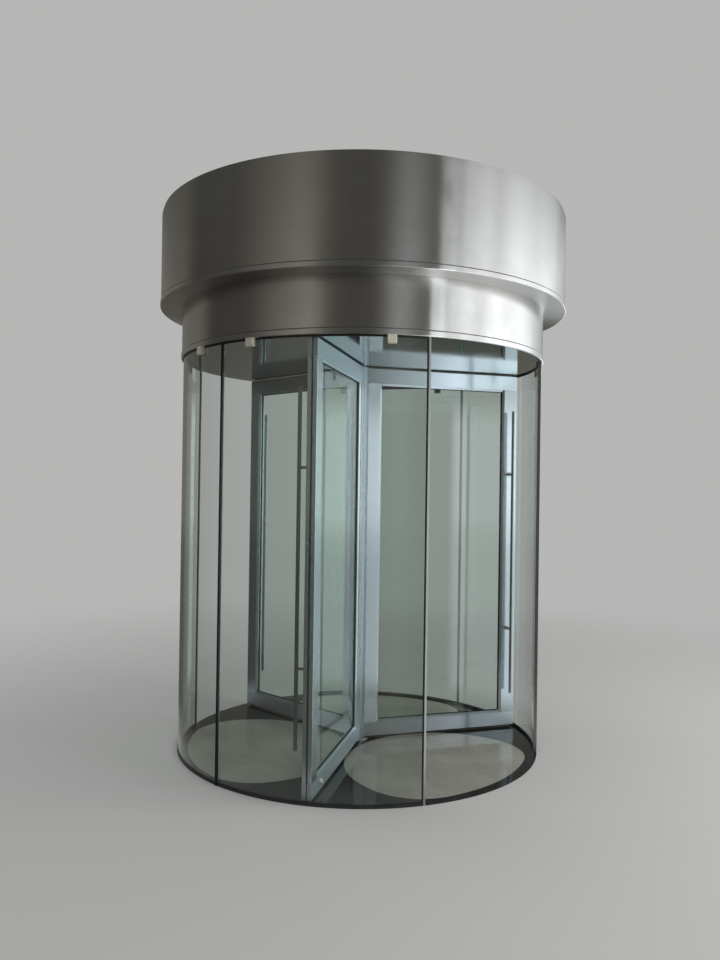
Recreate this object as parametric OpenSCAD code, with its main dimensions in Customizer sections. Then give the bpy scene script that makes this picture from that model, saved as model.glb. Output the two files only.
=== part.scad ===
// Revolving door with three wings, in a drum of curved glass under a stepped round canopy.
// Millimetres, +Z up. The origin is on the axis of rotation, at the underside of the floor disc.
// -Y is the street side and +Y leads into the building. Angles run anticlockwise from +X.

/* [Floor] */
// How far the round stone floor reaches beyond the glass
floor_edge = 4; // [4:1:40]
// Thickness of the stone floor
floor_t = 20; // [15:1:40]
// Depth of the pockets that hold the pale inlays
inlay_t = 10; // [5:1:12]
// Width of the dark margin outside the inlays
inlay_margin = 60; // [30:1:100]
// Width of the dark strip between two inlays, where they come closest
inlay_gap = 17; // [6:1:60]
// How far an inlay's main circle would run past the margin
inlay_overrun = 211; // [100:1:300]
// Radius of the inlay's rounded outer corners
inlay_corner = 300; // [100:1:320]

/* [Drum wall] */
// Outer radius of the curved glass
wall_r = 1053; // [950:1:1250]
// Thickness of the curved glass
wall_t = 12; // [8:1:20]
// Clear height from the floor to the ceiling
clear_h = 2234; // [2000:1:2600]
// Angle that each glass wall covers
wall_sweep = 120; // [90:1:130]
// Width of the joint between the two panes of a wall
pane_gap = 6; // [3:1:12]
// Width of the slim edge profile on the free edges, along the wall
edge_w = 11; // [9:1:40]
// How far the edge profile stands proud of the glass, inside and outside
edge_leg = 3; // [2:1:6]
// Height of the floor channel
sill_h = 14; // [8:1:30]
// Height of the head channel
head_h = 8; // [6:1:30]
// How far the channels stand proud of the glass, inside and outside
channel_leg = 3; // [2:1:4]
// Thickness of metal under and over the glass
channel_seat = 3; // [2:1:6]
// Clearance of the glass in its profiles and channels
glass_gap = 0.5; // [0.3:0.1:1.5]

/* [Facade posts] */
// Width of the slim posts where the building's glass facade meets the drum
post_w = 12; // [12:1:80]
// Depth of the posts, measured out from the drum's glass
post_d = 11; // [11:1:90]
// Width of the slot that takes the facade's glass
post_slot_w = 8.5; // [6:0.5:8.5]
// Depth of that slot
post_slot_d = 6; // [4:1:6]

/* [Canopy] */
// How far the lower band stands outside the glass
lower_band_out = 10; // [8:1:60]
// Height of the lower band, its rolled edge included
lower_band_h = 292; // [150:1:500]
// Width of the step from the lower band to the upper one
step_w = 121; // [60:1:250]
// Height of the upper band, its rolled edge included
upper_band_h = 511; // [200:1:800]
// Thickness of the band sheets
band_t = 4; // [2:1:8]
// Height of the rolled edge at the foot of the lower band
lower_bead_h = 30; // [12:1:50]
// Height of the rolled edge at the foot of the upper band
upper_bead_h = 27; // [12:1:50]
// How far the rolled edges stand proud of the bands
bead_proud = 4; // [1:1:10]
// Height of the trim ring on top
top_trim_h = 20; // [10:1:60]
// How far the trim ring is set back
top_trim_inset = 6; // [1:1:30]
// Thickness of the ceiling panel
ceiling_t = 6; // [3:1:12]
// Thickness of the step and roof sheets
sheet_t = 4; // [2:1:8]

/* [Canopy frame] */
// Width of the ring beam over the glass
ring_beam_w = 60; // [40:1:120]
// Height of the ring beam
ring_beam_h = 80; // [50:1:150]
// Width of the bridge that carries the bearing
bridge_w = 220; // [180:1:400]
// Height of the bridge
bridge_h = 60; // [40:1:100]
// Number of uprights that carry the step and the roof
upright_count = 12; // [6:1:18]
// Width of the uprights and of their arms
upright_w = 40; // [20:1:60]
// Radius of the bearing housing
bearing_r = 85; // [70:1:105]
// Height of the bearing housing above the bridge
bearing_h = 90; // [50:1:200]

/* [Rotor] */
// Turn of the rotor from its middle position
rotor_turn = -1.5; // [-20:0.5:20]
// Radius of the centre post
shaft_r = 45; // [35:1:60]
// Radius of the spigot that turns in the top bearing
spigot_r = 30; // [20:1:32]
// Clearance round the spigot and the floor pin
bearing_gap = 0.5; // [0.3:0.1:1]
// Radius of the pin in the floor bearing
pin_r = 15; // [10:1:20]
// Height of that pin
pin_h = 40; // [20:1:60]
// Radius of the floor bearing's cover
foot_r = 64; // [55:1:90]
// Height of the floor bearing's cover
foot_h = 6; // [4:1:12]
// Gap between a wing's outer stile and the glass
edge_gap = 14; // [12:1:30]
// Thickness of the wing frames
wing_t = 50; // [40:1:60]
// Width of the outer stile
outer_stile_w = 98; // [60:1:140]
// Width of the hinge stile, measured out from the centre post
hinge_stile_w = 78; // [50:1:120]
// Height of the top rail, its glazing bead included
top_rail_h = 100; // [60:1:160]
// Height of the bottom rail, its glazing bead included
bottom_rail_h = 94; // [60:1:200]
// Radius of the frame's long edges
edge_round = 3; // [1:0.5:6]
// Width of the sloping glazing bead round the glass
bead_w = 12; // [6:1:20]
// Thickness across the glazing beads at the glass
bead_t = 30; // [20:1:36]
// Thickness of the wing glass
wing_glass_t = 10; // [6:1:14]
// Depth of the groove that holds the glass
groove_d = 16; // [8:1:20]
// Space left between the glass and the groove's ends
groove_end = 2; // [1:0.5:4]

/* [Seals] */
// Gap between the bottom rail and the floor
bottom_gap = 14; // [10:1:30]
// Gap between the top rail and the ceiling
top_gap = 8; // [8:1:30]
// Clearance left by the brushes and the edge seal
sweep_gap = 6; // [5:1:9]
// Thickness of the brushes and the edge seal
seal_t = 8; // [4:1:12]
// Depth of the slot that holds a seal
seal_slot = 8; // [4:1:10]

/* [Handles] */
// Diameter of the handle bar
handle_d = 20; // [14:1:32]
// Length of the handle bar
handle_len = 1770; // [400:1:1900]
// Height of the bar's middle above the floor
handle_mid = 1115; // [1000:1:1200]
// Spacing of its two stand-offs
standoff_pitch = 976; // [200:1:1400]
// Distance from the wing's face to the bar's centre line
standoff_len = 50; // [35:1:80]
// Diameter of the stand-offs
standoff_d = 14; // [8:1:20]
// Diameter of their roses
rose_d = 30; // [20:1:44]
// Thickness of their roses
rose_t = 4; // [2:1:8]

/* [Glass clamps] */
// Angle from the end of a pane to its clamp
clamp_angle = 10.7; // [5:0.1:25]
// Width of a clamp
clamp_w = 46; // [30:1:120]
// Height of a clamp, down from the ceiling
clamp_h = 44; // [25:1:80]
// Depth of a clamp, out from the glass
clamp_d = 24; // [15:1:60]
// Width of the bevel round a clamp's front
clamp_bevel = 3; // [1:0.5:6]

/* [Hidden] */

// Small amount by which a cut runs past the face it opens
cut = 1;
// Facets on round pieces in the view
$fn = 180;

// Levels
floor_top = floor_t;
ceiling_z = floor_top + clear_h;
lower_top_z = ceiling_z + lower_band_h;
upper_top_z = lower_top_z + upper_band_h;

// Drum wall
wall_in = wall_r - wall_t;
floor_r = wall_r + floor_edge;
half_wall = wall_sweep / 2;
edge_angle = deg(edge_w / wall_r);
pane_angle = deg(pane_gap / wall_r);
glass_foot = floor_top + channel_seat;
glass_head = ceiling_z - channel_seat;

// Canopy
lower_band_r = wall_r + lower_band_out;
upper_band_r = lower_band_r + step_w;
frame_base = ceiling_z + ceiling_t;
frame_r = lower_band_r - band_t;
beam_in = frame_r - ring_beam_w;

// Rotor
wing_step = 120;
wing_reach = wall_in - edge_gap;
wing_a = 210 + rotor_turn;
wing_b = wing_a + wing_step;
wing_c = wing_b + wing_step;
rail_foot = floor_top + bottom_gap;
rail_head = ceiling_z - top_gap;
stile_foot = rail_foot + bottom_rail_h - bead_w;
stile_head = rail_head - top_rail_h + bead_w;
hinge_edge = shaft_r + hinge_stile_w;
outer_edge = wing_reach - outer_stile_w;
handle_r = wing_reach - outer_stile_w / 2;
post_foot = floor_top + foot_h + 1;

function deg(a) = a * 180 / PI;
function polar(r, a) = [r * cos(a), r * sin(a)];
function arc(c, r, a0, a1, n) = [for (i = [0:n]) c + polar(r, a0 + (a1 - a0) * i / n)];

// Inlay outline, pointing along +X: an arc along the rim, two corner arcs and the main circle
rim_r = floor_r - inlay_margin;
inlay_offset = (rim_r + inlay_overrun + inlay_gap / 2) / (1 + sin(60));
inlay_r = inlay_offset * sin(60) - inlay_gap / 2;
corner_far = rim_r - inlay_corner;
corner_near = inlay_r - inlay_corner;
corner_x = (pow(corner_far, 2) - pow(corner_near, 2) + pow(inlay_offset, 2)) / (2 * inlay_offset);
corner_y = sqrt(pow(corner_far, 2) - pow(corner_x, 2));
corner_a = atan2(corner_y, corner_x);
corner_b = atan2(corner_y, corner_x - inlay_offset);
function inlay_points() = concat(
  arc([0, 0], rim_r, -corner_a, corner_a, 16),
  arc([corner_x, corner_y], inlay_corner, corner_a, corner_b, 12),
  arc([inlay_offset, 0], inlay_r, corner_b, 360 - corner_b, 40),
  arc([corner_x, -corner_y], inlay_corner, 360 - corner_b, 360 - corner_a, 12)
);

// A ring with a rectangular section, between two radii and two levels
module ring(r_in, r_out, z0, z1) {
  translate([0, 0, z0])
    rotate_extrude()
      translate([r_in, 0])
        square([r_out - r_in, z1 - z0]);
}

// Part of such a ring, from angle a0 to a1
module ring_part(r_in, r_out, z0, z1, a0, a1) {
  rotate([0, 0, a0])
    translate([0, 0, z0])
      rotate_extrude(angle = a1 - a0)
        translate([r_in, 0])
          square([r_out - r_in, z1 - z0]);
}

// Floor

module inlay(angle, grow = 0) {
  rotate([0, 0, angle])
    translate([0, 0, floor_top - inlay_t])
      linear_extrude(inlay_t + grow)
        polygon(inlay_points());
}

module floor_disc() {
  color([0.15, 0.16, 0.16])
    difference() {
      cylinder(h = floor_t, r = floor_r);
      for (a = [30, 150, 270])
        inlay(a, cut);
    }
}

module floor_inlay(angle) {
  color([0.62, 0.61, 0.56])
    inlay(angle);
}

// Cover with a sloping rim, and the pin that the centre post turns on
module floor_bearing() {
  color([0.6, 0.62, 0.63])
    translate([0, 0, floor_top])
      rotate_extrude()
        polygon([
          [0, 0], [foot_r, 0], [foot_r, 2], [shaft_r + 4, foot_h],
          [pin_r, foot_h], [pin_r, foot_h + pin_h - 2], [pin_r - 2, foot_h + pin_h], [0, foot_h + pin_h]
        ]);
}

// Drum wall

// One curved pane, between the middle joint at angle m and the free edge on side s
module pane(m, s) {
  near = m + s * pane_angle / 2;
  far = m + s * (half_wall - edge_angle / 3 - deg(glass_gap / wall_r));
  color([0.62, 0.78, 0.74, 0.35])
    ring_part(wall_in, wall_r, glass_foot, glass_head, min(near, far), max(near, far));
}

// U-shaped steel profile over a free vertical edge, standing on the floor channel
module edge_profile(m, s) {
  tip = m + s * half_wall;
  base = tip - s * edge_angle / 3;
  heel = tip - s * edge_angle;
  difference() {
    ring_part(wall_in - edge_leg, wall_r + edge_leg, floor_top, ceiling_z, min(tip, heel), max(tip, heel));
    ring_part(wall_in - glass_gap, wall_r + glass_gap, glass_foot, glass_head, min(base, heel - s), max(base, heel - s));
  }
}

module edge_profiles(m) {
  color([0.72, 0.74, 0.75]) {
    edge_profile(m, -1);
    edge_profile(m, 1);
  }
}

// Channel with a slot for the glass, between the two edge profiles and clear of them
module channel(m, z0, z1, slot0, slot1) {
  reach = half_wall - edge_angle;
  difference() {
    ring_part(wall_in - channel_leg, wall_r + channel_leg, z0, z1, m - reach, m + reach);
    ring_part(wall_in - glass_gap, wall_r + glass_gap, slot0, slot1, m - reach - 1, m + reach + 1);
  }
}

module floor_channel(m) {
  color([0.16, 0.17, 0.17])
    channel(m, floor_top, floor_top + sill_h, glass_foot, floor_top + sill_h + cut);
}

module head_channel(m) {
  color([0.3, 0.31, 0.32])
    channel(m, ceiling_z - head_h, ceiling_z, ceiling_z - head_h - cut, glass_head);
}

// Slotted post that covers the joint between two panes and takes the glass of the building's facade
module facade_post(m) {
  color([0.16, 0.17, 0.17])
    rotate([0, 0, m])
      difference() {
        translate([wall_r - channel_leg, -post_w / 2, 0])
          cube([post_d + channel_leg, post_w, ceiling_z]);
        translate([wall_r + post_d - post_slot_d, -post_slot_w / 2, floor_top])
          cube([post_slot_d + cut, post_slot_w, clear_h + cut]);
        translate([0, 0, -cut])
          cylinder(h = floor_top + cut, r = floor_r);
        translate([0, 0, -cut])
          cylinder(h = floor_top + sill_h + cut, r = wall_r + channel_leg);
        translate([0, 0, floor_top])
          cylinder(h = clear_h, r = wall_r);
        translate([0, 0, ceiling_z - head_h])
          cylinder(h = head_h + cut, r = wall_r + channel_leg);
      }
}

// Canopy

module ceiling_panel() {
  color([0.72, 0.75, 0.75])
    ring(spigot_r + sweep_gap, frame_r, ceiling_z, frame_base);
}

module canopy_lower_band() {
  color([0.62, 0.61, 0.59])
    ring(frame_r, lower_band_r, ceiling_z, lower_top_z - sheet_t);
}

// Rolled edge: a flat face between two rounded shoulders
module bead(r, z0, h) {
  round_r = bead_proud;
  translate([0, 0, z0])
    rotate_extrude()
      polygon(concat(
        arc([r, round_r], round_r, -90, 0, 6),
        arc([r, h - round_r], round_r, 0, 90, 6)
      ));
}

module canopy_lower_bead() {
  color([0.7, 0.7, 0.69])
    bead(lower_band_r, ceiling_z, lower_bead_h);
}

module canopy_step() {
  color([0.55, 0.55, 0.54])
    ring(frame_r, upper_band_r - band_t, lower_top_z - sheet_t, lower_top_z);
}

module canopy_upper_band() {
  color([0.62, 0.61, 0.59])
    ring(upper_band_r - band_t, upper_band_r, lower_top_z - sheet_t, upper_top_z);
}

module canopy_upper_bead() {
  color([0.7, 0.7, 0.69])
    bead(upper_band_r, lower_top_z - sheet_t, upper_bead_h);
}

module canopy_roof() {
  color([0.5, 0.5, 0.5])
    translate([0, 0, upper_top_z - sheet_t])
      cylinder(h = sheet_t, r = upper_band_r - band_t);
}

module canopy_top_trim() {
  color([0.55, 0.55, 0.54])
    ring(upper_band_r - top_trim_inset - band_t, upper_band_r - top_trim_inset, upper_top_z, upper_top_z + top_trim_h);
}

// Ring beam on the glass line
module ring_beam() {
  color([0.35, 0.37, 0.38])
    ring(beam_in, frame_r, frame_base, frame_base + ring_beam_h);
}

// Uprights on the ring beam, each with an arm over the step and one under the roof
module canopy_uprights() {
  base = frame_base + ring_beam_h;
  top = upper_top_z - sheet_t;
  reach = upper_band_r - band_t - beam_in;
  color([0.35, 0.37, 0.38])
    for (i = [0:upright_count - 1])
      rotate([0, 0, (i + 0.5) * 360 / upright_count])
        intersection() {
          translate([beam_in, -upright_w / 2, base])
            difference() {
              cube([reach, upright_w, top - base]);
              translate([ring_beam_w, -cut, -cut])
                cube([reach, upright_w + 2 * cut, lower_top_z - base + cut]);
              translate([ring_beam_w, -cut, lower_top_z - base + upright_w])
                cube([reach, upright_w + 2 * cut, top - lower_top_z - 2 * upright_w]);
            }
          difference() {
            cylinder(h = upper_top_z, r = upper_band_r - band_t);
            cylinder(h = upper_top_z, r = beam_in);
          }
          union() {
            cylinder(h = lower_top_z, r = frame_r);
            translate([0, 0, lower_top_z])
              cylinder(h = upper_band_h, r = upper_band_r);
          }
        }
}

// Bridge across the ring beam, with a hole for the bearing
module bridge_beam() {
  color([0.35, 0.37, 0.38])
    difference() {
      intersection() {
        translate([-beam_in, -bridge_w / 2, frame_base])
          cube([2 * beam_in, bridge_w, bridge_h]);
        translate([0, 0, frame_base])
          cylinder(h = bridge_h, r = beam_in);
      }
      translate([0, 0, frame_base - cut])
        cylinder(h = bridge_h + 2 * cut, r = spigot_r + bearing_gap);
    }
}

// Flanged housing whose bore takes the post's spigot
module top_bearing_housing() {
  base = frame_base + bridge_h;
  flange_h = 15;
  color([0.45, 0.47, 0.48])
    difference() {
      union() {
        translate([0, 0, base])
          cylinder(h = flange_h, r = bearing_r + 20);
        translate([0, 0, base])
          cylinder(h = bearing_h, r = bearing_r);
      }
      translate([0, 0, base - cut])
        cylinder(h = bearing_h + 2 * cut, r = spigot_r + bearing_gap);
    }
}

// A clamp's outline from the glass outwards, with bevelled corners, w across and d deep
function clamp_points(w, d) = [
  [-2, -w / 2], [d - clamp_bevel, -w / 2], [d, clamp_bevel - w / 2],
  [d, w / 2 - clamp_bevel], [d - clamp_bevel, w / 2], [-2, w / 2]
];

// Two clamps on the outside of each pane, under the canopy
module glass_clamps() {
  foot = ceiling_z - clamp_h;
  color([0.82, 0.8, 0.72])
    for (m = [0, 180])
      for (a = [clamp_angle - half_wall, -clamp_angle, clamp_angle, half_wall - clamp_angle])
        rotate([0, 0, m + a])
          difference() {
            union() {
              translate([wall_r, 0, foot + clamp_bevel])
                linear_extrude(clamp_h - clamp_bevel)
                  polygon(clamp_points(clamp_w, clamp_d));
              translate([wall_r, 0, foot])
                linear_extrude(clamp_bevel)
                  polygon(clamp_points(clamp_w - 2 * clamp_bevel, clamp_d - clamp_bevel));
            }
            translate([0, 0, foot - cut])
              cylinder(h = clamp_h + 2 * cut, r = wall_r);
            translate([0, 0, ceiling_z - head_h])
              cylinder(h = head_h + cut, r = wall_r + channel_leg);
          }
}

// Rotor

// Round post with a socket for the floor pin and a spigot for the top bearing
module centre_post() {
  spigot_top = frame_base + bridge_h + bearing_h;
  socket_top = floor_top + foot_h + pin_h + 2;
  post_head = ceiling_z - sweep_gap;
  color([0.6, 0.64, 0.66])
    rotate_extrude()
      polygon([
        [pin_r + bearing_gap, post_foot], [shaft_r, post_foot], [shaft_r, post_head], [spigot_r, post_head],
        [spigot_r, spigot_top], [0, spigot_top], [0, socket_top], [pin_r + bearing_gap, socket_top]
      ]);
}

// Half of a bead's section: from the member's face down to the glass, which lies on the x axis at w
function bead_points(w, s) = [
  [w - bead_w, s * wing_t / 2], [w - bead_w + 1, s * (wing_t / 2 - 3)], [w, s * bead_t / 2],
  [w, s * wing_glass_t / 2], [w - groove_d, s * wing_glass_t / 2]
];

// Section of the outer stile, w wide from its rounded back to the glass
function stile_points(w) = concat(
  arc([edge_round, wing_t / 2 - edge_round], edge_round, 180, 90, 3),
  bead_points(w, 1),
  [for (i = [4:-1:0]) bead_points(w, -1)[i]],
  arc([edge_round, edge_round - wing_t / 2], edge_round, 270, 180, 3)
);

// Section of the hinge stile, w wide from a plain back to the glass
function hinge_points(w) = concat(
  [[0, -wing_t / 2], [0, wing_t / 2]],
  bead_points(w, 1),
  [for (i = [4:-1:0]) bead_points(w, -1)[i]]
);

// Slot in a member's back for a brush or an edge seal
module seal_slot_2d() {
  translate([-cut, -seal_t / 2])
    square([seal_slot + cut, seal_t]);
}

// The two upright stiles, standing between the rails
module wing_stiles(angle) {
  tall = stile_head - stile_foot;
  hinge_back = shaft_r * 0.6;
  color([0.62, 0.66, 0.68])
    rotate([0, 0, angle]) {
      translate([wing_reach, 0, stile_foot])
        linear_extrude(tall)
          mirror([1, 0])
            difference() {
              polygon(stile_points(outer_stile_w));
              seal_slot_2d();
            }
      difference() {
        translate([hinge_back, 0, stile_foot])
          linear_extrude(tall)
            polygon(hinge_points(hinge_edge - hinge_back));
        translate([0, 0, stile_foot - cut])
          cylinder(h = tall + 2 * cut, r = shaft_r);
      }
    }
}

// A rail: its body along the whole width, and its bead between the two stiles
module rail(h) {
  body_h = h - bead_w;
  rotate([90, 0, 90]) {
    linear_extrude(wing_reach)
      rotate([0, 0, 90])
        difference() {
          polygon(concat(
            arc([edge_round, wing_t / 2 - edge_round], edge_round, 180, 90, 3),
            [[body_h, wing_t / 2], [body_h, -wing_t / 2]],
            arc([edge_round, edge_round - wing_t / 2], edge_round, 270, 180, 3)
          ));
          seal_slot_2d();
        }
    translate([0, 0, hinge_edge])
      linear_extrude(outer_edge - hinge_edge)
        rotate([0, 0, 90])
          for (s = [-1, 1])
            polygon([
              [body_h, s * wing_glass_t / 2], [body_h, s * wing_t / 2], [body_h + 1, s * (wing_t / 2 - 3)],
              [h, s * bead_t / 2], [h, s * wing_glass_t / 2]
            ]);
  }
}

module wing_rails(angle) {
  glass_x0 = hinge_edge - groove_d;
  color([0.64, 0.67, 0.7])
    rotate([0, 0, angle])
      difference() {
        union() {
          translate([0, 0, rail_foot])
            rail(bottom_rail_h);
          translate([0, 0, rail_head])
            mirror([0, 0, 1])
              rail(top_rail_h);
        }
        translate([0, 0, floor_top])
          cylinder(h = clear_h, r = shaft_r);
        translate([wing_reach - seal_slot, -seal_t / 2, floor_top])
          cube([seal_slot + cut, seal_t, clear_h]);
        translate([glass_x0, -wing_glass_t / 2, stile_foot + bead_w - groove_d])
          cube([outer_edge + groove_d - glass_x0, wing_glass_t, stile_head - stile_foot - 2 * (bead_w - groove_d)]);
      }
}

module wing_glass(angle) {
  x0 = hinge_edge - groove_d + groove_end;
  x1 = outer_edge + groove_d - groove_end;
  z0 = stile_foot + bead_w - groove_d;
  z1 = stile_head - bead_w + groove_d - groove_end;
  color([0.6, 0.78, 0.73, 0.35])
    rotate([0, 0, angle])
      translate([x0, -wing_glass_t / 2, z0])
        cube([x1 - x0, wing_glass_t, z1 - z0]);
}

// Bar with two stand-offs on the face that a person pushes
module wing_handle(angle) {
  face = -wing_t / 2;
  color([0.7, 0.72, 0.73])
    rotate([0, 0, angle])
      translate([handle_r, face, floor_top + handle_mid]) {
        translate([0, -standoff_len, -handle_len / 2])
          cylinder(h = handle_len, d = handle_d, $fn = 48);
        for (z = [-1, 1] * standoff_pitch / 2)
          translate([0, 0, z])
            rotate([90, 0, 0]) {
              cylinder(h = standoff_len, d = standoff_d, $fn = 32);
              cylinder(h = rose_t, d = rose_d, $fn = 32);
            }
      }
}

// Brushes under and over the wing, and the rubber lip along its outer edge
module wing_seals(angle) {
  lip = wall_in - edge_leg - sweep_gap;
  brush_in = shaft_r + 2;
  brush_out = wing_reach - seal_slot;
  color([0.05, 0.05, 0.05])
    rotate([0, 0, angle]) {
      translate([brush_in, -seal_t / 2, floor_top + sweep_gap])
        cube([brush_out - brush_in, seal_t, bottom_gap - sweep_gap + seal_slot]);
      translate([brush_in, -seal_t / 2, rail_head - seal_slot])
        cube([brush_out - brush_in, seal_t, top_gap - sweep_gap + seal_slot]);
      translate([brush_out, -seal_t / 2, rail_foot])
        cube([lip - brush_out, seal_t, rail_head - rail_foot]);
    }
}

floor_disc();
floor_inlay(270);  // floor_inlay_front
floor_inlay(150);  // floor_inlay_left
floor_inlay(30);  // floor_inlay_right
floor_bearing();
pane(180, 1);  // left_glass_front
pane(180, -1);  // left_glass_rear
pane(0, -1);  // right_glass_front
pane(0, 1);  // right_glass_rear
edge_profiles(180);  // left_edge_profiles
edge_profiles(0);  // right_edge_profiles
floor_channel(180);  // left_floor_channel
floor_channel(0);  // right_floor_channel
head_channel(180);  // left_head_channel
head_channel(0);  // right_head_channel
facade_post(180);  // left_facade_post
facade_post(0);  // right_facade_post
ceiling_panel();
canopy_lower_band();
canopy_lower_bead();
canopy_step();
canopy_upper_band();
canopy_upper_bead();
canopy_top_trim();
canopy_roof();
ring_beam();
canopy_uprights();
bridge_beam();
top_bearing_housing();
glass_clamps();
centre_post();
wing_stiles(wing_a);  // wing_a_stiles
wing_rails(wing_a);  // wing_a_rails
wing_glass(wing_a);  // wing_a_glass
wing_handle(wing_a);  // wing_a_handle
wing_seals(wing_a);  // wing_a_seals
wing_stiles(wing_b);  // wing_b_stiles
wing_rails(wing_b);  // wing_b_rails
wing_glass(wing_b);  // wing_b_glass
wing_handle(wing_b);  // wing_b_handle
wing_seals(wing_b);  // wing_b_seals
wing_stiles(wing_c);  // wing_c_stiles
wing_rails(wing_c);  // wing_c_rails
wing_glass(wing_c);  // wing_c_glass
wing_handle(wing_c);  // wing_c_handle
wing_seals(wing_c);  // wing_c_seals
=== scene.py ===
"""Looks of the revolving door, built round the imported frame.

Metres, +Z up, the origin on the door's axis at the underside of the floor disc.
"""

import math
import random

import bmesh
import bpy
from mathutils import Matrix, Vector


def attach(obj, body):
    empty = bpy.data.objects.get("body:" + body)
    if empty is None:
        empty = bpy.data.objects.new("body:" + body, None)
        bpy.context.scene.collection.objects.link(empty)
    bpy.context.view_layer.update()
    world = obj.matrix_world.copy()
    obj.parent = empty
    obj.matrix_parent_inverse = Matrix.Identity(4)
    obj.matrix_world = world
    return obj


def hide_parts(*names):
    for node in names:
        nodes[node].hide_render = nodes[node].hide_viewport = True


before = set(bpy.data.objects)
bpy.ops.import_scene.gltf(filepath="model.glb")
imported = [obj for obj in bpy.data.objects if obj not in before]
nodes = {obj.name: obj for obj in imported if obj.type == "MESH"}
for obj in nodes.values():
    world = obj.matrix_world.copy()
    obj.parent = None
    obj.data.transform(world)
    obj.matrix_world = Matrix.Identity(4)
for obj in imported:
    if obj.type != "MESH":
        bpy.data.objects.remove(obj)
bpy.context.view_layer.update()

# Levels and radii of the door, as in the part's source
FLOOR = 0.020
CEILING = 2.254
LOWER_TOP = 2.546
UPPER_TOP = 3.057
ROOF_JOINT_Y = 0.40
INLAY_T = 0.010
GLASS_OUT = 1.053
GLASS_IN = 1.041
DISC_R = 1.057
RIM_R = 0.997
INLAY_OVERRUN = 0.211
INLAY_GAP = 0.017
INLAY_CORNER = 0.300
LOWER_BAND_R = 1.063
UPPER_BAND_R = 1.184
BAND_T = 0.004
SHEET_T = 0.004
CEILING_T = 0.006
LOWER_BEAD_H = 0.030
UPPER_BEAD_H = 0.027
BEAD_PROUD = 0.004
TRIM_H = 0.020
TRIM_INSET = 0.006
GLASS_FOOT = 0.023
GLASS_HEAD = 2.251
GLASS_GAP = 0.0005
PANE_GAP = 0.006
EDGE_W = 0.011
EDGE_LEG = 0.003
SILL_H = 0.014
HEAD_H = 0.008
CHANNEL_LEG = 0.003
CEILING_HOLE = 0.036
HALF_WALL = 60
CLAMP_ANGLE = 10.7
CLAMP_W = 0.046
CLAMP_H = 0.044
CLAMP_D = 0.024
WALLS = {"left": 180.0, "right": 0.0}
INLAY_TURNS = {"front": 270, "left": 150, "right": 30}

WING_ANGLES = {"a": 208.5, "b": 328.5, "c": 88.5}
SHAFT_R = 0.045
WING_T = 0.050
WING_REACH = 1.027
OUTER_EDGE = 0.929
HINGE_EDGE = 0.123
HINGE_BACK = 0.027
RAIL_FOOT = 0.034
RAIL_HEAD = 2.246
BOTTOM_RAIL_H = 0.094
TOP_RAIL_H = 0.100
GLAZING_BEAD_W = 0.012
GLAZING_BEAD_T = 0.030
WING_GLASS_T = 0.010
GROOVE_D = 0.016
GROOVE_END = 0.002
SEAL_T = 0.008
SEAL_SLOT = 0.008
LIP_R = 1.032
EDGE_ROUND = 0.003
STILE_FOOT = RAIL_FOOT + BOTTOM_RAIL_H - GLAZING_BEAD_W
STILE_HEAD = RAIL_HEAD - TOP_RAIL_H + GLAZING_BEAD_W
HANDLE_R = 0.978
HANDLE_D = 0.020
HANDLE_LEN = 1.770
HANDLE_MID = 1.135
STANDOFF_PITCH = 0.976
STANDOFF_LEN = 0.050
STANDOFF_D = 0.014
ROSE_D = 0.030
ROSE_T = 0.004

# Fine things that only show here
STONE_JOINT = 0.0004
STONE_ARRIS = 0.0005
SEAL_PLAY = 0.0003
TUFT_PITCH = 0.0042
TUFT_LENGTH = 0.0105
BRISTLE_GAP = 0.0022
FIN_GAP = 0.0035
LIP_WAVER = 0.002
LIP_WAVES = ((0.118, 0.9, 0.0), (0.071, 0.5, 1.3), (0.263, 0.7, 2.1))
SHARP_ANGLE = 10
SHARP_ANGLE_SMALL = 32
ORIGIN = (0.0, 0.0, 0.0)
UP = (0, 0, 1)


# Plain shapes in the section plane


def polar(r, degrees):
    angle = math.radians(degrees)
    return (r * math.cos(angle), r * math.sin(angle))


def spun(x, y, degrees):
    c, s = polar(1, degrees)
    return (x * c - y * s, x * s + y * c)


def arc(centre, r, a0, a1, count):
    spokes = [polar(r, a0 + (a1 - a0) * i / count) for i in range(count + 1)]
    return [(centre[0] + x, centre[1] + y) for x, y in spokes]


def held_arc(centre, r, a0, a1, count=10, hold=0.0006):
    """An arc with a point just beyond each end, so that the flats beside it shade flat."""
    reach = math.copysign(hold, a1 - a0)
    ends = []
    for angle, move in ((a0, -reach), (a1, reach)):
        c, s = polar(1, angle)
        ends.append((centre[0] + r * c - s * move, centre[1] + r * s + c * move))
    return [ends[0], *arc(centre, r, a0, a1, count), ends[1]]


def corners(loop):
    """Each point of a closed loop, between the one before and the one after."""
    points = [Vector(p) for p in loop]
    return zip(points[-1:] + points[:-1], points, points[1:] + points[:1])


def inset(loop, distance):
    """A closed loop moved to its left, which is inwards on an anticlockwise loop."""
    made = []
    for before, here, after in corners(loop):
        d0, d1 = (here - before).normalized(), (after - here).normalized()
        n0, n1 = Vector((-d0.y, d0.x)), Vector((-d1.y, d1.x))
        mitre = n0 + n1
        made.append(tuple(here + mitre / max(mitre.dot(n0), 0.2) * distance))
    return made


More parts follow.
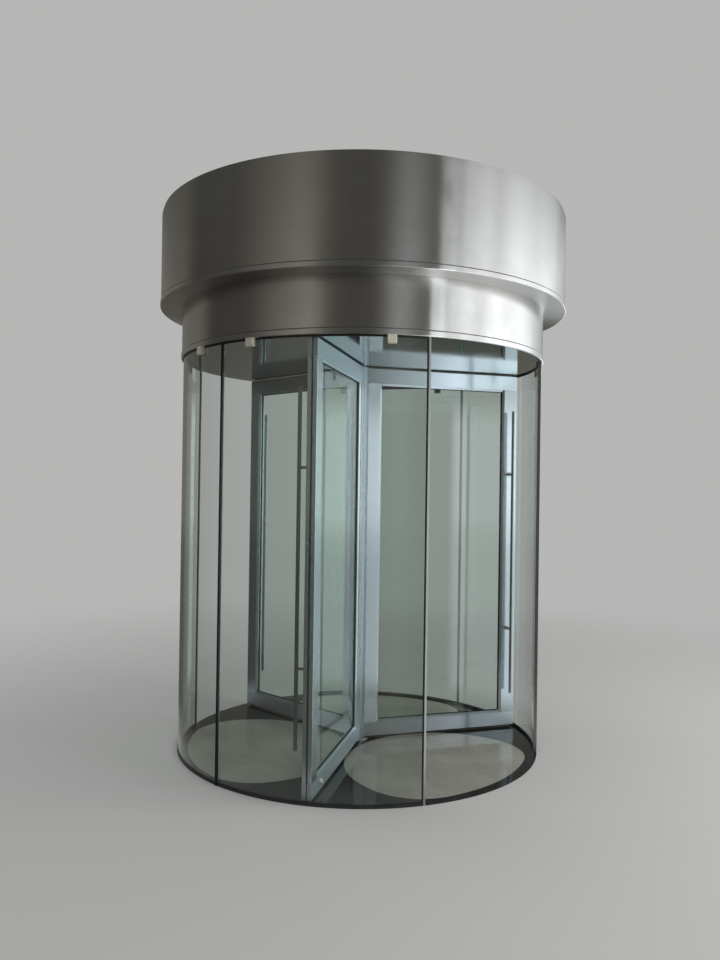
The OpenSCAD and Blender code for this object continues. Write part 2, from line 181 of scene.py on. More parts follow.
def soften(loop, r, count=2, limit=35):
    """The loop with every corner sharper than the limit rounded, in a few flat facets."""
    made = []
    for before, here, after in corners(loop):
        back, ahead = before - here, after - here
        turn = math.pi - back.angle(ahead)
        if math.degrees(turn) < limit:
            made.append(tuple(here))
            continue
        leg = min(r * math.tan(turn / 2), back.length * 0.45, ahead.length * 0.45)
        back.normalize()
        ahead.normalize()
        centre = here + (back + ahead).normalized() * (leg / math.sin(turn / 2))
        first, last = here + back * leg - centre, here + ahead * leg - centre
        sweep = -first.angle_signed(last)
        for k in range(count + 1):
            spoke = first.normalized() * (leg / math.tan(turn / 2))
            spoke.rotate(Matrix.Rotation(sweep * k / count, 2))
            made.append(tuple(centre + spoke))
    return made


def box(x0, x1, y0, y1, r=0.0008):
    return soften([(x0, y0), (x1, y0), (x1, y1), (x0, y1)], r)


# Solids, as (vertices, faces)


def swept(sections, closed=False):
    """Equal loops joined in turn, each anticlockwise as seen against the sweep."""
    n, spans = len(sections[0]), len(sections) - (not closed)
    faces = []
    for s in range(spans):
        a, b = s * n, (s + 1) % len(sections) * n
        faces += [(a + j, b + j, b + (j + 1) % n, a + (j + 1) % n) for j in range(n)]
    if not closed:
        last = spans * n
        faces += [tuple(range(n)), tuple(last + j for j in reversed(range(n)))]
    return [point for section in sections for point in section], faces


def turned(profile, a0=0.0, a1=360.0, step=1.5, chamfer=0.0):
    """A closed (r, z) profile turned round the axis from a0 to a1 degrees."""
    whole = a1 - a0 > 359.99
    count = max(2, round((a1 - a0) / step))
    angles = [a0 + (a1 - a0) * i / count for i in range(count + (not whole))]
    loops = [profile] * len(angles)
    if chamfer and not whole:
        reach = math.degrees(chamfer / max(r for r, z in profile))
        angles = [a0, a0 + reach, *angles[1:-1], a1 - reach, a1]
        small = inset(profile, chamfer)
        loops = [small, *[profile] * (len(angles) - 2), small]
    ways = [polar(1, angle) for angle in angles]
    sections = [[(r * c, r * s, z) for r, z in p] for p, (c, s) in zip(loops, ways)]
    return swept(sections, whole)


def prism(loop, w0, w1, place, chamfer=0.0004):
    """An anticlockwise (u, v) loop drawn from w0, a number or a function of u and v, to w1.

    place turns (u, v, w) into a point."""
    foot = w0 if callable(w0) else lambda u, v: w0
    small = inset(loop, chamfer)
    sections = [
        [place(u, v, foot(u, v)) for u, v in small],
        [place(u, v, foot(u, v) + chamfer) for u, v in loop],
        [place(u, v, w1 - chamfer) for u, v in loop],
        [place(u, v, w1) for u, v in small],
    ]
    verts, faces = swept(sections)
    return verts, [face[::-1] for face in faces]


def slab(loop, z0, z1, chamfer):
    return prism(loop, z0, z1, lambda u, v, w: (u, v, w), chamfer)


def moved(solid, matrix):
    verts, faces = solid
    return [tuple(matrix @ Vector(v)) for v in verts], faces


# Pieces


def new_mesh(name, verts, faces):
    mesh = bpy.data.meshes.new(name)
    mesh.from_pydata([tuple(v) for v in verts], [], faces)
    return mesh


def new_object(name, data):
    thing = bpy.data.objects.new(name, data)
    bpy.context.scene.collection.objects.link(thing)
    return thing


def add_mesh(name, mesh, look, body, *stands_for, sharp=SHARP_ANGLE):
    """A piece of a body, in a finish, which stands for those CAD nodes."""
    mesh.name = name
    mesh.validate()
    mesh.shade_smooth()
    mesh.set_sharp_from_angle(angle=math.radians(sharp))
    piece = new_object(name, mesh)
    mesh.materials.clear()
    mesh.materials.append(finishes[look])
    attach(piece, body)
    if stands_for:
        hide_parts(*stands_for)
    return piece


def add_piece(name, solids, look, body, *stands_for):
    """One piece from several solids, its points joined on the axis, its faces outwards."""
    verts, faces = [], []
    for some_verts, some_faces in solids:
        base = len(verts)
        verts += some_verts
        faces += [tuple(base + i for i in face) for face in some_faces]
    mesh = new_mesh(name, verts, faces)
    made = bmesh.new()
    made.from_mesh(mesh)
    bmesh.ops.remove_doubles(made, verts=made.verts, dist=1e-6)
    bmesh.ops.dissolve_degenerate(made, edges=made.edges, dist=1e-7)
    loose = [edge for edge in made.edges if not edge.link_faces]
    bmesh.ops.delete(made, geom=loose, context="EDGES")
    bmesh.ops.recalc_face_normals(made, faces=made.faces)
    made.to_mesh(mesh)
    made.free()
    return add_mesh(name, mesh, look, body, *stands_for)


def adder(prefix, body):
    """Adds pieces to one body. Their names and their CAD nodes' begin with the prefix."""

    def add(name, solids, look, *stands_for):
        whole = [prefix + node for node in stands_for]
        return add_piece(prefix + name, solids, look, body, *whole)

    return add


add_drum = adder("", "drum")
add_rotor = adder("", "rotor")


# Shader helpers


class Net:
    """Adds nodes to one tree and joins them. A plain colour is three numbers."""

    def __init__(self, tree):
        self.tree = tree

    def add(self, kind, values=None, **settings):
        """A new node. A kind with no Node in it is a shader node."""
        node = self.tree.nodes.new(kind if "Node" in kind else "ShaderNode" + kind)
        for key, value in settings.items():
            setattr(node, key, value)
        self.fill(node.inputs, values or {})
        return node

    def get(self, kind, values=None, output=0, **settings):
        return self.add(kind, values, **settings).outputs[output]

    def fill(self, sockets, values):
        for key, value in values.items():
            if isinstance(value, bpy.types.NodeSocket):
                self.tree.links.new(value, sockets[key])
            elif sockets[key].type == "RGBA":
                sockets[key].default_value = (*value, 1.0)
            else:
                sockets[key].default_value = value

    def math(self, operation, a, b=0.0, c=0.0):
        return self.get("Math", {0: a, 1: b, 2: c}, operation=operation)

    def times(self, a, b):
        return self.math("MULTIPLY", a, b)

    def plus(self, a, b):
        return self.math("ADD", a, b)

    def vector(self, operation, a, b=ORIGIN):
        return self.add("VectorMath", {0: a, 1: b}, operation=operation).outputs

    def part(self, vector, axis):
        return self.get("SeparateXYZ", {0: vector}, axis)

    def ramp(self, value, low, high, to_low=0.0, to_high=1.0, kind="SMOOTHSTEP"):
        ends = {"From Min": low, "From Max": high, "To Min": to_low, "To Max": to_high}
        return self.get("MapRange", {"Value": value, **ends}, interpolation_type=kind)

    def mix(self, factor, a, b):
        return self.get("Mix", {"Factor": factor, 6: a, 7: b}, 2, data_type="RGBA")

    def tint(self, mask, share, a, b):
        """a, turned towards b by that share of the mask."""
        return self.mix(self.times(mask, share), a, b)

    def noise(self, vector, scale, detail=3.0, roughness=0.5, distortion=0.0):
        values = {"Vector": vector, "Scale": scale, "Detail": detail}
        return self.get(
            "TexNoise", {**values, "Roughness": roughness, "Distortion": distortion}, "Fac"
        )

    def clouds(self, vector, noise, *ends):
        return self.ramp(self.noise(vector, *noise), *ends)

    def cells(self, vector, scale):
        """Three random values for each crystal of that many to the metre."""
        cell = self.get("TexVoronoi", {"Vector": vector, "Scale": scale}, "Color")
        return self.add("SeparateColor", {0: cell}).outputs

    def stretched(self, vector, scale):
        return self.get("Mapping", {"Vector": vector, "Scale": scale})

    def attribute(self, name):
        settings = {"attribute_name": name, "attribute_type": "GEOMETRY"}
        return self.get("Attribute", output="Vector", **settings)

    def bump(self, height, strength, distance):
        values = {"Height": height, "Strength": strength, "Distance": distance}
        return self.get("Bump", values)

    def group(self, name, **values):
        return self.add("Group", values, node_tree=effects[name]).outputs

    def dust(self, where, amount):
        return self.group("settled_dust", Vector=where, Amount=amount)["Mask"]

    def worn(self, where, reach, amount):
        return self.group("worn_edges", Vector=where, Reach=reach, Amount=amount)["Mask"]

    def surface(self, base, rough, bump=None, **more):
        """A Principled shader. bump is (height, strength, distance)."""
        values = {key.replace("_", " "): value for key, value in more.items()}
        if bump:
            values["Normal"] = self.bump(*bump)
        return self.get("BsdfPrincipled", {"Base Color": base, "Roughness": rough, **values})

    def mixed_shader(self, factor, a, b):
        return self.get("MixShader", {0: factor, 1: a, 2: b})


effects = {}
finishes = {}
trees = {}


def add_socket(tree, way, label, kind, default=None):
    made = tree.interface.new_socket(label, in_out=way, socket_type="NodeSocket" + kind)
    if default is not None:
        made.default_value = default


def effect(name, inputs, outputs, kind="Float"):
    """A new shader node group: its net, what it is given and what it puts out."""
    tree = bpy.data.node_groups.new(name, "ShaderNodeTree")
    for label, default in inputs.items():
        given = "Vector" if isinstance(default, tuple) else "Float"
        add_socket(tree, "INPUT", label, given, default)
    for label in outputs:
        add_socket(tree, "OUTPUT", label, kind)
    effects[name] = tree
    net = Net(tree)
    return net, net.add("NodeGroupInput").outputs, net.add("NodeGroupOutput").inputs


def build_effects():
    # Fine parallel lines of a brushed or drawn finish, with broad uneven patches
    inputs = {"Vector": ORIGIN, "Fine": (6.0, 6.0, 1600.0)}
    net, given, out = effect("brushed_lines", inputs, ("Lines", "Patches"))
    fine = net.noise(net.vector("MULTIPLY", given["Vector"], given["Fine"])[0], 1.0, 4.0, 0.65)
    lines = net.ramp(fine, 0.3, 0.7, kind="LINEAR")
    patches = net.clouds(given["Vector"], (5.0, 4.0, 0.6), 0.32, 0.68)
    net.fill(out, {"Lines": lines, "Patches": patches})

    # Bright rubbed strip along the edges of a piece
    inputs = {"Vector": ORIGIN, "Reach": 0.0015, "Amount": 1.0}
    net, given, out = effect("worn_edges", inputs, ("Mask",))
    rounded = net.get("Bevel", {"Radius": given["Reach"]}, samples=4)
    flat = net.get("NewGeometry", output="Normal")
    edge = net.ramp(net.vector("DOT_PRODUCT", rounded, flat)["Value"], 0.995, 0.90)
    broken = net.clouds(given["Vector"], (90.0, 4.0, 0.7), 0.40, 0.62)
    net.fill(out, {"Mask": net.times(net.times(edge, broken), given["Amount"])})

    # Dust that lies on faces that look up
    inputs = {"Vector": ORIGIN, "Amount": 0.5}
    net, given, out = effect("settled_dust", inputs, ("Mask",))
    facing = net.part(net.get("NewGeometry", output="Normal"), "Z")
    upward = net.ramp(facing, 0.4, 0.95)
    cloud = net.clouds(given["Vector"], (7.0, 6.0, 0.62), 0.30, 0.75)
    specks = net.clouds(given["Vector"], (260.0, 2.0, 0.6), 0.60, 0.72)
    both = net.math("MAXIMUM", cloud, net.times(specks, 0.7))
    net.fill(out, {"Mask": net.times(net.times(upward, both), given["Amount"])})

    # Hand marks, wiped streaks and faint spots on glass and polished metal
    inputs = {"Vector": ORIGIN, "Low": 0.8, "High": 1.6, "Scale": 9.0}
    net, given, out = effect("hand_marks", inputs, ("Marks", "Spots"))
    height = net.part(given["Vector"], "Z")
    above = net.ramp(height, net.math("SUBTRACT", given["Low"], 0.25), given["Low"])
    below = net.ramp(height, net.plus(given["High"], 0.25), given["High"])
    streaks = net.stretched(given["Vector"], (1.0, 1.0, 0.45))
    smear = net.clouds(streaks, (given["Scale"], 6.0, 0.6, 0.2), 0.52, 0.75)
    spots = net.clouds(given["Vector"], (140.0, 1.0, 0.4), 0.70, 0.78)
    net.fill(out, {"Marks": net.times(smear, net.times(above, below)), "Spots": spots})

    # Crystals of a polished stone: large pale, small bright and dark ones, and slow clouds
    inputs = {"Vector": ORIGIN, "Scale": 260.0}
    net, given, out = effect("stone_crystals", inputs, ("Pale", "Bright", "Dark", "Clouds"))
    large = net.cells(given["Vector"], given["Scale"])
    small = net.cells(given["Vector"], net.times(given["Scale"], 2.6))
    kinds = {
        "Pale": net.ramp(large[0], 0.62, 0.80),
        "Bright": net.ramp(small[2], 0.93, 0.97),
        "Dark": net.ramp(large[1], 0.60, 0.75),
        "Clouds": net.clouds(given["Vector"], (3.2, 5.0, 0.6), 0.34, 0.66),
    }
    net.fill(out, kinds)


# Finishes. Each takes the coordinates and its own values, and gives a shader


def finish(name, looks, *values):
    material = bpy.data.materials.new(name)
    material.use_nodes = True
    material.node_tree.nodes.clear()
    net = Net(material.node_tree)
    where = net.get("TexCoord", output="Object")
    net.add("OutputMaterial", {"Surface": looks(net, where, *values)})
    finishes[name] = material
    return material


def shaded(tone, factor, lift=0.0):
    return tuple(min(1.0, c * factor + lift) for c in tone)


def round_brushed(net, where, base, rough, fine, dust, vary):
    """Brushed sheet on a round piece: the grain runs round it, so lights stretch upwards."""
    grain = net.group("brushed_lines", Vector=where, Fine=fine)
    dusty = net.dust(where, dust)
    metal = net.mix(grain["Lines"], shaded(base, 1 - vary), base)
    stain = (base[0] * 0.72, base[1] * 0.70, base[2] * 0.66)
    stained = net.tint(grain["Patches"], 0.16, metal, stain)
    uneven = net.plus(net.times(grain["Lines"], 0.04), net.times(grain["Patches"], 0.04))
    return net.surface(
        net.mix(dusty, stained, (0.36, 0.34, 0.31)),
        net.plus(uneven, rough),
        (grain["Lines"], 0.06, 0.0001),
        Metallic=net.ramp(dusty, 0.0, 1.0, 1.0, 0.2),
        Anisotropic=1.0,
        Anisotropic_Rotation=0.25,
        Tangent=net.get("Tangent", direction_type="RADIAL", axis="Z"),
    )


def drawn_metal(net, where, base, rough, along, wear, metallic=1.0, own_grain=False):
    """Satin or polished metal. With its own grain, it is drawn along each member."""
    member = net.attribute("member") if own_grain else where
    grain = net.group("brushed_lines", Vector=member, Fine=along)
    rubbed = net.worn(where, 0.0014, wear)
    marks = net.group("hand_marks", Vector=where, Low=0.75, High=1.5)["Marks"]
    lines = net.mix(grain["Lines"], shaded(base, 0.93), base)
    toned = net.tint(grain["Patches"], 0.12, lines, shaded(base, 0.80))
    tone = net.mix(rubbed, toned, shaded(base, 1.25, 0.04))
    uneven = net.plus(net.times(grain["Lines"], 0.06), net.times(marks, 0.05))
    rough_here = net.plus(net.plus(uneven, rough), net.times(rubbed, -0.06))
    more = {"Metallic": metallic}
    if own_grain:
        ways = {"vector_type": "VECTOR", "convert_from": "OBJECT", "convert_to": "WORLD"}
        across = net.get("VectorTransform", {0: net.attribute("across")}, **ways)
        more |= {"Anisotropic": 1.0, "Tangent": across}
    return net.surface(tone, rough_here, (grain["Lines"], 0.08, 0.0001), **more)


def sheet_mirror(net, where):
    grain = net.group("brushed_lines", Vector=where, Fine=(500.0, 8.0, 8.0))
    marks = net.group("hand_marks", Vector=where, Low=0.0, High=4.0, Scale=3.0)
    base = net.tint(grain["Patches"], 0.2, (0.62, 0.65, 0.645), (0.54, 0.57, 0.565))
    tone = net.tint(marks["Spots"], 0.5, base, (0.4, 0.4, 0.38))
    lines = net.ramp(grain["Lines"], 0.0, 1.0, 0.07, 0.10)
    rough = net.plus(net.times(marks["Marks"], 0.08), lines)
    return net.surface(tone, rough, (net.noise(where, 2.2, 2.0, 0.4), 0.25, 0.004), Metallic=1.0)


def dark_anodised(net, where):
    dusty = net.dust(where, 0.5)
    mottle = net.noise(where, 60.0, 4.0, 0.6)
    base = net.mix(mottle, (0.034, 0.037, 0.037), (0.060, 0.064, 0.063))
    worn = net.mix(net.worn(where, 0.0012, 0.7), base, (0.20, 0.21, 0.21))
    tone = net.mix(dusty, worn, (0.20, 0.19, 0.17))
    rough = net.plus(net.ramp(mottle, 0.3, 0.7, 0.30, 0.42), net.times(dusty, 0.3))
    metallic = net.ramp(dusty, 0.0, 1.0, 0.8, 0.1)
    return net.surface(tone, rough, (mottle, 0.06, 0.0002), Metallic=metallic)


def granite(net, where):
    stone = net.group("stone_crystals", Vector=where, Scale=330.0)
    dusty = net.dust(where, 0.12)
    base = net.mix(stone["Clouds"], (0.008, 0.009, 0.009), (0.013, 0.0145, 0.0145))
    grains = net.tint(stone["Pale"], 0.65, base, (0.036, 0.039, 0.038))
    pits = net.tint(stone["Dark"], 0.7, grains, (0.005, 0.005, 0.006))
    glints = net.tint(stone["Bright"], 0.8, pits, (0.11, 0.12, 0.118))
    tone = net.tint(dusty, 0.4, glints, (0.13, 0.125, 0.11))
    worn = net.clouds(where, (2.6, 5.0, 0.62), 0.3, 0.75, 0.04, 0.10)
    return net.surface(tone, net.plus(worn, net.times(dusty, 0.2)), (stone["Dark"], 0.05, 0.0001))


def cream_stone(net, where):
    stone = net.group("stone_crystals", Vector=where, Scale=210.0)
    dusty = net.dust(where, 0.14)
    veins = net.noise(where, 9.0, 7.0, 0.66)
    base = net.mix(stone["Clouds"], (0.235, 0.23, 0.20), (0.29, 0.287, 0.255))
    veined = net.mix(net.ramp(veins, 0.52, 0.70, 0.0, 0.5), base, (0.20, 0.19, 0.165))
    flecks = net.tint(stone["Pale"], 0.35, veined, (0.38, 0.375, 0.35))
    pits = net.tint(stone["Bright"], 0.45, flecks, (0.14, 0.13, 0.11))
    tone = net.tint(dusty, 0.4, pits, (0.24, 0.225, 0.195))
    scuffs = net.clouds(where, (4.0, 6.0, 0.66), 0.35, 0.75, 0.025, 0.075)
    rough = net.plus(scuffs, net.times(dusty, 0.15))
    return net.surface(tone, rough, (veins, 0.02, 0.0001), IOR=1.62)


def clear_pane(net, where, tint, low, high):
    """Sheet glass with faint hand marks. Light on its way elsewhere goes straight through."""
    marks = net.group("hand_marks", Vector=where, Low=low, High=high, Scale=7.0)
    tone = net.tint(marks["Spots"], 0.25, tint, (0.6, 0.63, 0.6))
    rough = net.times(marks["Marks"], 0.03)
    glass = net.surface(tone, rough, Metallic=0.0, Transmission_Weight=1.0, IOR=1.5)
    rays = net.add("LightPath").outputs
    mirrored = net.math("SUBTRACT", rays["Is Glossy Ray"], rays["Is Transmission Ray"])
    lighting = net.math("MAXIMUM", rays["Is Shadow Ray"], rays["Is Diffuse Ray"])
    one_face = tuple(math.sqrt(c * 0.92) for c in tint)
    through = net.get("BsdfTransparent", {"Color": one_face})
    return net.mixed_shader(net.math("MAXIMUM", lighting, mirrored), glass, through)


def glass_arris(net, where):
    """The polished edge of a pane, where the glass looks deep green."""
    bands = net.noise(net.stretched(where, (300.0, 300.0, 2.0)), 1.0, 3.0, 0.6)
    tone = net.mix(bands, (0.09, 0.20, 0.165), (0.17, 0.33, 0.275))
    return net.surface(tone, net.ramp(bands, 0.3, 0.7, 0.10, 0.22), Coat_Weight=0.4)


def rubber(net, where, tone, rough):
    skin = net.noise(where, 420.0, 3.0, 0.6)
    bloom = net.clouds(where, (11.0, 5.0, 0.6), 0.42, 0.75)
    base = net.tint(bloom, 0.35, tone, shaded(tone, 1.8, 0.012))
    rubbed = net.mix(net.worn(where, 0.001, 0.5), base, (0.07, 0.07, 0.07))
    rough_here = net.ramp(skin, 0.3, 0.7, rough - 0.08, rough + 0.10)
    return net.surface(rubbed, rough_here, (skin, 0.15, 0.0002))


def primed_steel(net, where):
    peel = net.noise(where, 120.0, 3.0, 0.5)
    drips = net.clouds(where, (5.0, 6.0, 0.65), 0.4, 0.7)
    base = net.mix(drips, (0.13, 0.14, 0.145), (0.19, 0.20, 0.205))
    tone = net.mix(net.dust(where, 0.8), base, (0.33, 0.31, 0.28))
    return net.surface(tone, net.ramp(peel, 0.3, 0.7, 0.42, 0.62), (peel, 0.12, 0.0003))


def galvanised(net, where):
    """Three sheets of galvanised steel under a thin, even dust."""
    spangle = net.cells(where, 95.0)
    dusty = net.dust(where, 0.30)
    stains = net.clouds(net.stretched(where, (0.5, 2.4, 1.0)), (1.6, 6.0, 0.55), 0.42, 0.80)
    side = net.part(where, "Y")
    first, last = (net.math("GREATER_THAN", side, y) for y in (-ROOF_JOINT_Y, ROOF_JOINT_Y))
    middle = net.math("PINGPONG", net.plus(first, last), 1.0)
    sheet = net.mix(middle, (0.40, 0.42, 0.43), (0.46, 0.48, 0.485))
    base = net.tint(spangle[0], 0.30, sheet, (0.58, 0.60, 0.61))
    stained = net.tint(stains, 0.30, base, (0.33, 0.325, 0.31))
    rubbed = net.mix(net.worn(where, 0.0012, 0.7), stained, (0.68, 0.69, 0.69))
    tone = net.mix(dusty, rubbed, (0.40, 0.385, 0.355))
    rough = net.plus(net.ramp(spangle[1], 0.0, 1.0, 0.38, 0.48), net.times(dusty, 0.3))
    metallic = net.ramp(dusty, 0.0, 0.8, 0.85, 0.35)
    return net.surface(tone, rough, (stains, 0.04, 0.0006), Metallic=metallic)


def cream_cover(net, where):
    pebble = net.noise(where, 900.0, 2.0, 0.5)
    yellowed = net.clouds(where, (24.0, 4.0, 0.6), 0.4, 0.7)
    base = net.mix(yellowed, (0.50, 0.475, 0.385), (0.45, 0.42, 0.32))
    tone = net.mix(net.worn(where, 0.0015, 0.6), base, (0.48, 0.46, 0.40))
    return net.surface(tone, net.ramp(pebble, 0.3, 0.7, 0.36, 0.48), (pebble, 0.08, 0.0001))


def bristle_hair(net, where):
    strands = net.noise(net.stretched(where, (900.0, 900.0, 40.0)), 1.0, 2.0, 0.6)
    dust = net.clouds(where, (30.0, 4.0, 0.6), 0.45, 0.75)
    base = net.mix(strands, (0.010, 0.010, 0.010), (0.035, 0.034, 0.032))
    tone = net.tint(dust, 0.3, base, (0.12, 0.115, 0.10))
    return net.surface(tone, net.ramp(strands, 0.3, 0.7, 0.45, 0.70), (strands, 0.1, 0.0002))


LINES_ROUND = (5.0, 5.0, 1500.0)
LINES_ALONG = (6.0, 1400.0, 1400.0)
LINES_UP = (900.0, 900.0, 5.0)
LINES_UP_SHORT = (900.0, 900.0, 8.0)
NO_LINES = (60.0, 60.0, 60.0)
WING_TONE = (0.66, 0.74, 0.80)

# Each finish: its slot in the record, its looks and their values
FINISHES = {
    "dark_granite": ("dark_stone", granite),
    "cream_marble": ("pale_stone", cream_stone),
    "drum_glass": ("drum_glass", clear_pane, (0.79, 0.83, 0.795), 0.9, 1.5),
    "wing_glass": ("wing_glass", clear_pane, (0.76, 0.84, 0.81), 0.8, 1.5),
    "glass_arris": ("drum_glass", glass_arris),
    "brushed_band": (
        "brushed_band", round_brushed, (0.66, 0.655, 0.63), 0.15, LINES_ROUND, 0.25, 0.10
    ),
    "rolled_bead": (
        "bright_bead", round_brushed, (0.70, 0.695, 0.67), 0.17, LINES_ROUND, 0.25, 0.06
    ),
    "step_sheet": (
        "brushed_band", round_brushed, (0.58, 0.575, 0.55), 0.28, NO_LINES, 0.8, 0.08
    ),
    "mirror_ceiling": ("mirror_steel", sheet_mirror),
    "satin_steel": ("satin_steel", drawn_metal, (0.68, 0.69, 0.69), 0.27, LINES_UP, 0.5, 0.85),
    "rail_aluminium": (
        "wing_aluminium", drawn_metal, WING_TONE, 0.30, LINES_ALONG, 0.8, 0.92, True
    ),
    "stile_aluminium": (
        "wing_aluminium", drawn_metal, WING_TONE, 0.19, LINES_ALONG, 0.8, 0.92, True
    ),
    "handle_steel": (
        "handle_steel", drawn_metal, (0.44, 0.45, 0.455), 0.20, LINES_UP_SHORT, 0.3
    ),
    "edge_steel": ("satin_steel", drawn_metal, (0.36, 0.37, 0.365), 0.32, LINES_UP, 0.3, 0.9),
    # Lighter, less metallic copy of the handle steel: a painted highlight on the lock cylinder
    "bright_steel": (
        "handle_steel", drawn_metal, (0.90, 0.89, 0.88), 0.16, LINES_UP_SHORT, 0.2, 0.35
    ),
    # Darker copy of the wing aluminium: painted shade standing for the dark reflections on the
    # centre post
    "post_aluminium": (
        "wing_aluminium", drawn_metal, (0.33, 0.38, 0.41), 0.24, LINES_UP, 0.6, 0.9
    ),
    "dark_anodised": ("dark_channel", dark_anodised),
    "black_rubber": ("black_seal", rubber, (0.012, 0.012, 0.012), 0.55),
    # Painted shade: the dark rings above the canopy's beads
    "grey_gasket": ("black_seal", rubber, (0.040, 0.042, 0.043), 0.50),
    "grey_sealant": ("black_seal", rubber, (0.15, 0.165, 0.16), 0.40),
    "brush_hair": ("black_seal", bristle_hair),
    "primed_steel": ("primed_steel", primed_steel),
    "roof_sheet": ("roof_sheet", galvanised),
    "cream_cover": ("clamp_cover", cream_cover),
}


# Camera, stage and light

CAMERA_BEARING = 221.8
CAMERA_DISTANCE = 4.8038
CAMERA_HEIGHT = 1.540
CAMERA_YAW = 0.0007
CAMERA_PITCH = 0.0068
CAMERA_ROLL = 0.0139
FOCAL_PIXELS = 795.62
PICTURE_HEIGHT = 960
BACKDROP = (0.47, 0.47, 0.465)
FLOOR_COLOUR = (0.45, 0.445, 0.435)
EVEN_LIGHT = (0.62, 0.63, 0.64)
OVERHEAD = (0.08, 0.08, 0.073)


def place_camera():
    data = bpy.data.cameras.new("door_camera")
    data.sensor_width = 36.0
    data.lens = FOCAL_PIXELS / PICTURE_HEIGHT * data.sensor_width
    data.clip_start = 0.05
    data.clip_end = 200.0
    camera = new_object("door_camera", data)
    camera.location = (*polar(CAMERA_DISTANCE, CAMERA_BEARING), CAMERA_HEIGHT)
    turn = (
        Matrix.Rotation(math.radians(CAMERA_BEARING + 90) + CAMERA_YAW, 3, "Z")
        @ Matrix.Rotation(math.pi / 2 + CAMERA_PITCH, 3, "X")
        @ Matrix.Rotation(CAMERA_ROLL, 3, "Z")
    )
    camera.rotation_mode = "QUATERNION"
    camera.rotation_quaternion = turn.to_quaternion()
    bpy.context.scene.camera = camera


def ray_kinds(net):
    """Whether a ray comes from the camera, through glass or not, and whether it is mirrored."""
    rays = net.add("LightPath").outputs
    mirrored = net.math("GREATER_THAN", rays["Glossy Depth"], 0.5)
    through = rays["Is Transmission Ray"]
    straight = net.math("SUBTRACT", through, mirrored)
    direct = net.math("MAXIMUM", rays["Is Camera Ray"], straight)
    return direct, net.math("MAXIMUM", rays["Is Glossy Ray"], net.times(through, mirrored))


def floor_looks(net, where):
    """Pale floor that fades into the backdrop, or into the panels where it is mirrored."""
    away = net.vector("LENGTH", where)["Value"]
    direct = ray_kinds(net)[0]
    fades = {"Factor": direct, "A": net.ramp(away, 1.1, 1.7), "B": net.ramp(away, 1.6, 6.5)}
    far = net.get("Mix", fades)
    turned_back = {0: net.get("NewGeometry", output="Incoming"), "Scale": -1.0}
    toward = net.get("VectorMath", turned_back, operation="SCALE")
    panels = net.group("soft_panels", Direction=toward, Top=window_top(net))["Colour"]
    dimmed = net.mix(net.ramp(away, 8.0, 40.0, 0.40, 0.0), panels, (0.0, 0.0, 0.0))
    distance = net.mix(direct, dimmed, BACKDROP)
    plain = net.get("Emission", {"Color": distance, "Strength": 1.0})
    return net.mixed_shader(far, net.surface(FLOOR_COLOUR, 0.6), plain)


def build_stage():
    """A pale floor level with the stone disc."""
    n = 180
    hole = [polar(DISC_R + 0.001, i * 360 / n) for i in range(n)]
    rings = (1.0, 1.3, 2.0, 4.0, 9.0, 25.0, 60.0)
    verts = [(x * scale, y * scale, FLOOR - 0.0002) for scale in rings for x, y in hole]
    faces = []
    for a in range(0, (len(rings) - 1) * n, n):
        for i in range(n):
            j = (i + 1) % n
            faces.append((a + i, a + n + i, a + n + j, a + j))
    floor = new_object("studio_floor", new_mesh("studio_floor", verts, faces))
    floor.data.materials.append(finish("studio_floor", floor_looks))


# Soft panels round the studio, seen in metal and glass alone: degrees round the axis, brightness
PANELS = (
    (0, 0.95), (14, 0.60), (28, 0.26), (60, 0.17), (112, 0.16), (124, 0.05), (158, 0.07),
    (170, 0.15), (181, 0.23), (197, 0.36), (203, 0.22), (207, 0.10), (222, 0.07),
    (235, 0.085), (241, 0.21), (247, 0.47), (252, 0.47), (258, 0.25), (267, 0.08),
    (273, 0.11), (278, 1.45), (286, 1.55), (293, 1.95), (301, 1.50), (309, 2.05),
    (318, 2.15), (328, 1.85), (340, 1.75), (352, 1.40),
)
PANEL_LEAN = 8.0
# Bright windows low down, which the wings mirror: from, to, light
WINDOWS = ((5.0, 25.0, (1.6, 1.75, 1.85)), (261.8, 270.5, (3.8, 4.0, 4.2)))
WARM = (1.05, 1.0, 0.90)
COOL = (0.97, 1.0, 1.04)
WARM_BELOW = 0.4


def build_panels():
    inputs = {"Direction": ORIGIN, "Top": 0.05}
    net, given, out = effect("soft_panels", inputs, ("Colour",), "Color")
    unit = net.vector("NORMALIZE", given["Direction"])[0]
    height = net.part(unit, "Z")
    turn = net.math("ARCTAN2", net.part(unit, "Y"), net.part(unit, "X"))
    turns = net.math("DIVIDE", turn, 2 * math.pi)
    lean = net.ramp(height, 0.15, 0.29, PANEL_LEAN / 360, 0.0)
    share = net.math("WRAP", net.plus(turns, lean), 1.0, 0.0)
    ramp = net.add("ValToRGB", {"Fac": share})
    stops = ramp.color_ramp.elements
    stops.remove(stops[-1])
    for degrees, level in (*PANELS, (360, PANELS[0][1])):
        stop = stops.new(degrees / 360) if degrees else stops[0]
        stop.position = degrees / 360
        tone = WARM if level < WARM_BELOW else COOL
        stop.color = (*(level * part for part in tone), 1.0)
    low = net.ramp(height, given["Top"], net.plus(given["Top"], 0.05), 1.0, 0.0)
    bearing = net.times(net.math("WRAP", turns, 1.0, 0.0), 360.0)
    panels = ramp.outputs["Color"]
    for near, far, light in WINDOWS:
        rise = net.ramp(bearing, near - 0.4, near + 0.4)
        fall = net.ramp(bearing, far - 0.9, far + 0.9, 1.0, 0.0)
        panels = net.mix(net.times(net.times(rise, fall), low), panels, light)
    net.fill(out, {"Colour": panels})


def window_top(net):
    """How high the windows reach. A twice mirrored ray finds them taller."""
    return net.ramp(net.get("LightPath", output="Glossy Depth"), 1.0, 2.0, 0.07, 0.45)


